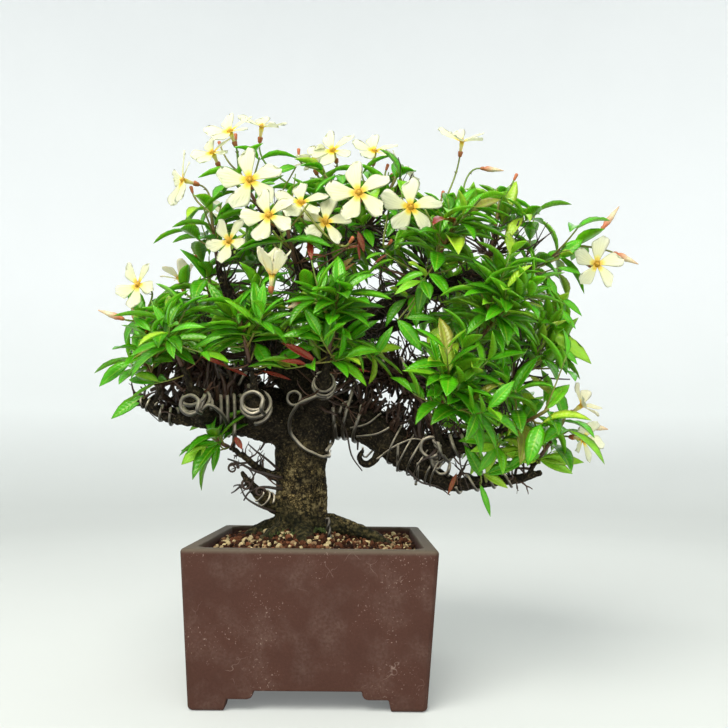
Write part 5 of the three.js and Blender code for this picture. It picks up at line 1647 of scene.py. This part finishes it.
def disc(centre, facing, width):
    """Places spread over a flower's face and just before it, so that no leaf hides it."""
    turn = turn_to(Vector(facing).normalized())
    places = []
    for reach in np.arange(0.1, 1, 0.15):
        for angle in np.linspace(0, tau, 24, endpoint=False):
            flat = np.array([reach * width / 2 * cos(angle), reach * width / 2 * sin(angle), 0])
            places += [centre + turn @ (flat + [0, 0, lift]) for lift in (-2, 0, 2, 5, 8, 12, 16)]
    return places


def lone_leaves_piece(finishes):
    """Leaves that stand alone, each on a thin stem from the nearest wood."""
    form = Form(*LEAF_MARKS)
    random = random_from(91)
    for x, y, z, *tip, age, breadth in LONE_LEAVES:
        foot = np.array([x, y, z], float)
        length = np.linalg.norm(tip - foot) * 1.04
        points, marks = blade(foot, unit(tip - foot), UP * 0.4 + [0, -1, 0], length, breadth * length, 0.4,
                              0.2 + 0.2 * random(), 0.3 * random(), random() * tau)
        form.add(points, BLADE_FACES, 0, tint=age, **marks)
        start = np.array(BEADS.find(foot)[0])
        knee = (start + foot) / 2 + [0, -2, -1.5]
        form.add(*tube(smooth_path([start, knee, foot], 8), 0.38, 6), 1, tint=0.7 if age > 0.85 else 0.3)
    form.build("lone_leaves", finishes, "leaves")


def spray_pieces(settings):
    """Every leafy spray, with its stems, leaves, stalks, calyces and buds."""
    finishes = [leaf_finish(settings), stem_finish(), calyx_finish()]
    room = Room()
    flowers = sum(BLOOMS.values(), [])
    for _host, centre, facing, width, _cup in flowers:
        room.take(disc(centre, facing, width), "flower")
    sprays = {name: Spray(name, k, settings, room) for k, name in enumerate(SPRAYS)}
    for spray in sprays.values():
        spray.draw_stem(spray.stems[0], 0.9, 0.35, 9)
        for stem in spray.stems[1:]:
            spray.draw_stem(stem, 0.55, 0.2)
    for host, centre, facing, _width, cup in flowers:
        outward = turned_out(facing, cup)
        foot = np.array(centre) - outward * (FLOWER_TUBE + SEAT_GAP + CALYX_LENGTH)
        sprays[host].stalk_from(foot, outward)
        sprays[host].calyx(foot, outward, CALYX_LENGTH + 0.5)
    for host, foot, tip, radius in BUDS:
        foot, tip = np.array(foot, float), np.array(tip, float)
        sprays[host].stalk_from(foot, unit(tip - foot))
        sprays[host].bud(foot, tip, radius)
    for host, foot, outward in CALYCES:
        foot, outward = np.array(foot, float), unit(outward)
        sprays[host].stalk_from(foot, outward)
        sprays[host].calyx(foot, outward, 3.6, 0.95, 0.4)
    for spray in sprays.values():
        spray.grow_source_leaves()
    for spray in sprays.values():
        spray.grow_fine_shoots()
    fill_gaps(sprays, room, settings.fill)
    lone_leaves_piece(finishes)
    for name, spray in sprays.items():
        spray.form.build(f"shoots_{name}", finishes, "leaves", [f"spray_{name}"])


# Flowers

PETAL_STATIONS = (0.0, 0.1, 0.22, 0.36, 0.5, 0.64, 0.77, 0.88, 0.96, 1.0)
PETAL_WIDTHS = (0.26, 0.34, 0.48, 0.67, 0.85, 0.98, 1.02, 0.93, 0.7, 0.34)
PETAL_ACROSS = (-1, -0.62, -0.25, 0.1, 0.5, 0.8, 1)


def petal(reach, cup, half_width, random):
    """Points, faces and marks of one skewed petal that points along +X, in the flower's own frame."""
    s = np.array(PETAL_STATIONS)[:, None]
    a = np.array(PETAL_ACROSS)[None, :]
    width = np.array(PETAL_WIDTHS)[:, None] * half_width * reach
    out = s * (reach - THROAT * 0.6) + THROAT * 0.6
    out = out - (a + 0.35) ** 2 * 0.09 * reach * s**3
    side = a * width + reach * (0.05 * s - 0.13 * s**2)
    curl = (random() - 0.5) * 0.5
    lift = -0.32 * side * (0.4 + 0.6 * s) - 0.05 * reach * s**2.5 * (1 + curl)
    lift += 0.18 * reach * (a * 0.5) ** 2 * s * (0.6 + curl)
    lift += 0.035 * reach * np.sin(5 * a + 9 * s + random() * tau) * s**2
    x = THROAT + cos(cup) * (out - THROAT) - sin(cup) * lift
    z = sin(cup) * (out - THROAT) + cos(cup) * lift
    top = np.stack([x, side * (1 - 0.25 * sin(cup) * s), z], -1)
    depth = np.minimum(1 - np.abs(a), 0.3) * 0.8 + 0 * s
    low = top - np.stack([0 * depth, 0 * depth, depth], -1)
    rows, wide = top.shape[:2]
    upper = grid(rows, wide)[:, [1, 0, 3, 2]]
    numbers = np.arange(rows * wide).reshape(rows, wide)
    first, last = numbers[0].copy(), numbers[-1].copy()
    numbers[:, 1:-1] += rows * wide
    lower = numbers.ravel()[upper][:, ::-1]
    ends = [[*first, *numbers[0, -2:0:-1]], [*last[::-1], *numbers[-1, 1:-1]]]
    marks = {"out": np.tile((s + 0 * a).ravel(), 2), "across": np.tile((a + 0 * s).ravel(), 2)}
    return np.concatenate([top.reshape(-1, 3), low.reshape(-1, 3)]), [upper, lower, np.array(ends)], marks


def turned_out(facing, cup):
    """The way a flower faces: open ones lean a little further out to the front."""
    return unit(np.array(facing) + (0, -0.35 * (cup < 0.45), 0))


def flower(form, spec, settings, random):
    """One pinwheel flower: skewed petals, a narrow tube and a small cone of anthers."""
    _, centre, facing, width, cup = spec
    facing = np.array(Vector(turned_out(facing, cup)))
    turn = turn_to(facing)
    age = 0.55 * random() if cup > 0.45 else 0.12 * random()
    for k in range(PETALS):
        angle = tau / PETALS * (k + 0.42) + 0.12 * (random() - 0.5)
        reach = width / 2 * (1.07 + 0.08 * random())
        points, faces, marks = petal(reach, cup + 0.1 * (random() - 0.5), settings.petal_width, random)
        spin = np.array(Matrix.Rotation(angle, 3, "Z"))
        form.add(points @ spin.T @ turn.T + centre, faces, 0, tint=age, **marks)
    funnel = [(-FLOWER_TUBE + 0.1, 0.8), (-3.6, 0.95), (-2.2, 1.25), (-0.9, 1.2), (-0.1, 1.7)]
    path = [centre + facing * z for z, _ in funnel]
    tints = np.concatenate([np.repeat([0.75, 0.55, 0.25, 0.1, 0.0], 15), [0.75, 0.0]])
    outs = np.concatenate([np.repeat([0.3, 0.3, 0.25, 0.12, 0.03], 15), [0.3, 0.03]])
    form.add(*tube(path, [radius for _, radius in funnel], 15), 0, out=outs, tint=tints)
    cone = [(-0.3, 0.85), (0.35, 0.95), (0.9, 0.6), (1.5, 0.22)]
    path = [centre + facing * z for z, _ in cone]
    anthers = tube(path, [radius for _, radius in cone], 15,
                   relief=lambda angles, k: 1 + 0.22 * np.cos(PETALS * angles))
    form.add(*anthers, 0, out=0.02, tint=0.1)


def bloom_pieces(settings):
    """Every bloom of the frame, petal by petal."""
    finish = petal_finish(settings)
    random = random_from(51)
    for name, flowers in BLOOMS.items():
        form = Form("tint", "out", "across")
        for spec in flowers:
            flower(form, spec, settings, random)
        form.build(f"flowers_{name}", [finish], "petals", [f"bloom_{name}"])


# Stage

# The floor's radius and height at each ring, and how far it lies under the pot's feet
FLOOR_PROFILE = [(300, 0), (800, 0), (1000, 18), (1200, 90), (1380, 240), (1480, 450), (1530, 800),
                 (1550, 1300), (1560, 1900)]
FLOOR_SIDES = 96
FLOOR_GAP = 0.2
SENSOR = 36


def stage_finish():
    """A pale, faintly glowing studio floor, lighter where it rises."""
    finish = Finish("studio_floor", Roughness=0.9, Specular_IOR_Level=0.1, Emission_Color=(0.95, 1.0, 1.0, 1),
                    Emission_Strength=0.16)
    rise = finish.between(finish.coordinate(2), 0.0, 0.5)
    pale = finish.ramp(rise, (0.0, (0.5, 0.52, 0.49)), (0.4, (0.8, 0.83, 0.82)), (1.0, (0.88, 0.9, 0.91)))
    finish.set("Base Color", finish.shaded(pale, finish.mottle(0.2, 3, (0.3, 0.98), (0.7, 1.0))))
    return finish.material


def studio_floor():
    """A flat round floor whose edge curves up all round into a low wall."""
    form = Form()
    angles = np.linspace(0, tau, FLOOR_SIDES, endpoint=False)
    rings = [np.stack([r * np.cos(angles), r * np.sin(angles), np.full(FLOOR_SIDES, z - FLOOR_GAP)], -1)
             for r, z in FLOOR_PROFILE]
    points = np.concatenate([*rings, [[0, 0, -FLOOR_GAP]]])
    j = np.arange(FLOOR_SIDES)
    fan = np.stack([j, (j + 1) % FLOOR_SIDES, np.full(FLOOR_SIDES, len(points) - 1)], -1)
    form.add(points, [sleeve(len(rings), FLOOR_SIDES)[:, ::-1], fan])
    floor = form.shown("studio_floor", [stage_finish()])


def soft_light(name, place, aim, size, power, colour=(1, 1, 1)):
    """A square area light at a place, turned to what it lights."""
    lamp = bpy.data.lights.new(name, "AREA")
    lamp.size = size
    lamp.energy = power
    lamp.color = colour
    holder = linked(name, lamp)
    holder.location = row(place)
    holder.rotation_euler = Vector(row(aim) - row(place)).to_track_quat("-Z", "Y").to_euler()


def camera_piece():
    """The camera at the photo's place, with its angle of view."""
    lens = bpy.data.cameras.new("photo_camera")
    lens.sensor_width = SENSOR
    lens.lens = SENSOR * FOCAL_PIXELS / PHOTO_SIZE
    lens.clip_start = 0.01
    camera = linked("photo_camera", lens)
    turned = Matrix.Rotation(-radians(CAMERA_YAW), 4, "Z")
    turned @= Matrix.Rotation(radians(90 + CAMERA_PITCH), 4, "X")
    turned @= Matrix.Rotation(radians(CAMERA_ROLL), 4, "Z")
    camera.matrix_world = Matrix.Translation(row(CAMERA_PLACE)) @ turned
    bpy.context.scene.camera = camera


# Add-on


class JASMINE_OT_pot(Operator):
    """Rounds the edges of the pot and fires its clay"""

    bl_idname = "jasmine.pot"
    bl_label = "Pot"

    def execute(self, context):
        pot_piece(context.scene.jasmine_pot)
        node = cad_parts["drain_screen"]
        node.data.materials.clear()
        node.data.materials.append(screen_finish())
        return {"FINISHED"}


class JASMINE_OT_soil(Operator):
    """Fills the pot with grains and lays moss round the trunk"""

    bl_idname = "jasmine.soil"
    bl_label = "Soil and moss"

    def execute(self, context):
        soil_piece(context.scene.jasmine_soil)
        moss_piece()
        return {"FINISHED"}


class JASMINE_OT_wood(Operator):
    """Fuses the trunk, roots and branches, and adds the finest twigs"""

    bl_idname = "jasmine.wood"
    bl_label = "Bark and twigs"

    def execute(self, context):
        tree_piece(context.scene.jasmine_wood)
        fine_twigs_piece()
        return {"FINISHED"}


class JASMINE_OT_wires(Operator):
    """Winds the training wires round the bark, and twists the anchor wire"""

    bl_idname = "jasmine.wires"
    bl_label = "Wires"

    def execute(self, context):
        settings = context.scene.jasmine_wire
        coil_pieces(settings, Bark(bpy.data.objects["bark"]))
        anchor_piece(settings)
        return {"FINISHED"}


class JASMINE_OT_flowers(Operator):
    """Opens the flowers, petal by petal"""

    bl_idname = "jasmine.flowers"
    bl_label = "Flowers"

    def execute(self, context):
        bloom_pieces(context.scene.jasmine_flower)
        return {"FINISHED"}


class JASMINE_OT_leaves(Operator):
    """Grows the leafy sprays with their stalks, calyces and buds"""

    bl_idname = "jasmine.leaves"
    bl_label = "Leaves and buds"

    def execute(self, context):
        spray_pieces(context.scene.jasmine_leaf)
        return {"FINISHED"}


class JASMINE_OT_stage(Operator):
    """Lays the pale floor, hangs the soft lights and sets up the camera"""

    bl_idname = "jasmine.stage"
    bl_label = "Stage"

    def execute(self, context):
        settings = context.scene.jasmine_stage
        studio_floor()
        middle = (0, 0, 150)
        soft_light("key_light", (-260, -620, 900), middle, 0.7, settings.key_power, (1, 0.98, 0.95))
        soft_light("fill_light", (420, -760, 260), middle, 0.6, settings.fill_power)
        soft_light("back_light", (200, 620, 700), middle, 0.7, settings.fill_power)
        sky = bpy.data.worlds.new("pale_surroundings")
        sky.use_nodes = True
        shade = sky.node_tree.nodes["Background"]
        shade.inputs["Color"].default_value = (1, 1, 1, 1)
        shade.inputs["Strength"].default_value = settings.sky
        context.scene.world = sky
        camera_piece()
        context.scene.view_settings.view_transform = "Standard"
        return {"FINISHED"}


class JASMINE_PT_panel(Panel):
    """Lists the steps that build the bonsai"""

    bl_idname = "JASMINE_PT_panel"
    bl_label = "Jasmine Bonsai"
    bl_space_type = "VIEW_3D"
    bl_region_type = "UI"
    bl_category = "Jasmine"

    def draw(self, context):
        for step in STEPS:
            self.layout.operator(step.bl_idname)
        for name in SETTINGS:
            group = getattr(context.scene, name)
            for setting in group.bl_rna.properties:
                if setting.identifier not in ("name", "rna_type"):
                    self.layout.prop(group, setting.identifier)


STEPS = (JASMINE_OT_pot, JASMINE_OT_soil, JASMINE_OT_wood, JASMINE_OT_wires, JASMINE_OT_flowers,
         JASMINE_OT_leaves, JASMINE_OT_stage)
SETTINGS = {
    "jasmine_pot": PotSettings, "jasmine_soil": SoilSettings, "jasmine_wood": WoodSettings,
    "jasmine_wire": WireSettings, "jasmine_flower": FlowerSettings, "jasmine_leaf": LeafSettings,
    "jasmine_stage": StageSettings,
}


def register():
    for kind in (*SETTINGS.values(), *STEPS, JASMINE_PT_panel):
        bpy.utils.register_class(kind)
    for name, kind in SETTINGS.items():
        setattr(bpy.types.Scene, name, PointerProperty(type=kind))


def unregister():
    for name in SETTINGS:
        delattr(bpy.types.Scene, name)
    for kind in (JASMINE_PT_panel, *reversed(STEPS), *reversed(SETTINGS.values())):
        bpy.utils.unregister_class(kind)


def main():
    """Builds every piece in order."""
    register()
    for step in STEPS:
        group, name = step.bl_idname.split(".")
        getattr(getattr(bpy.ops, group), name)()
    bpy.context.view_layer.update()


if __name__ == "__main__":
    main()
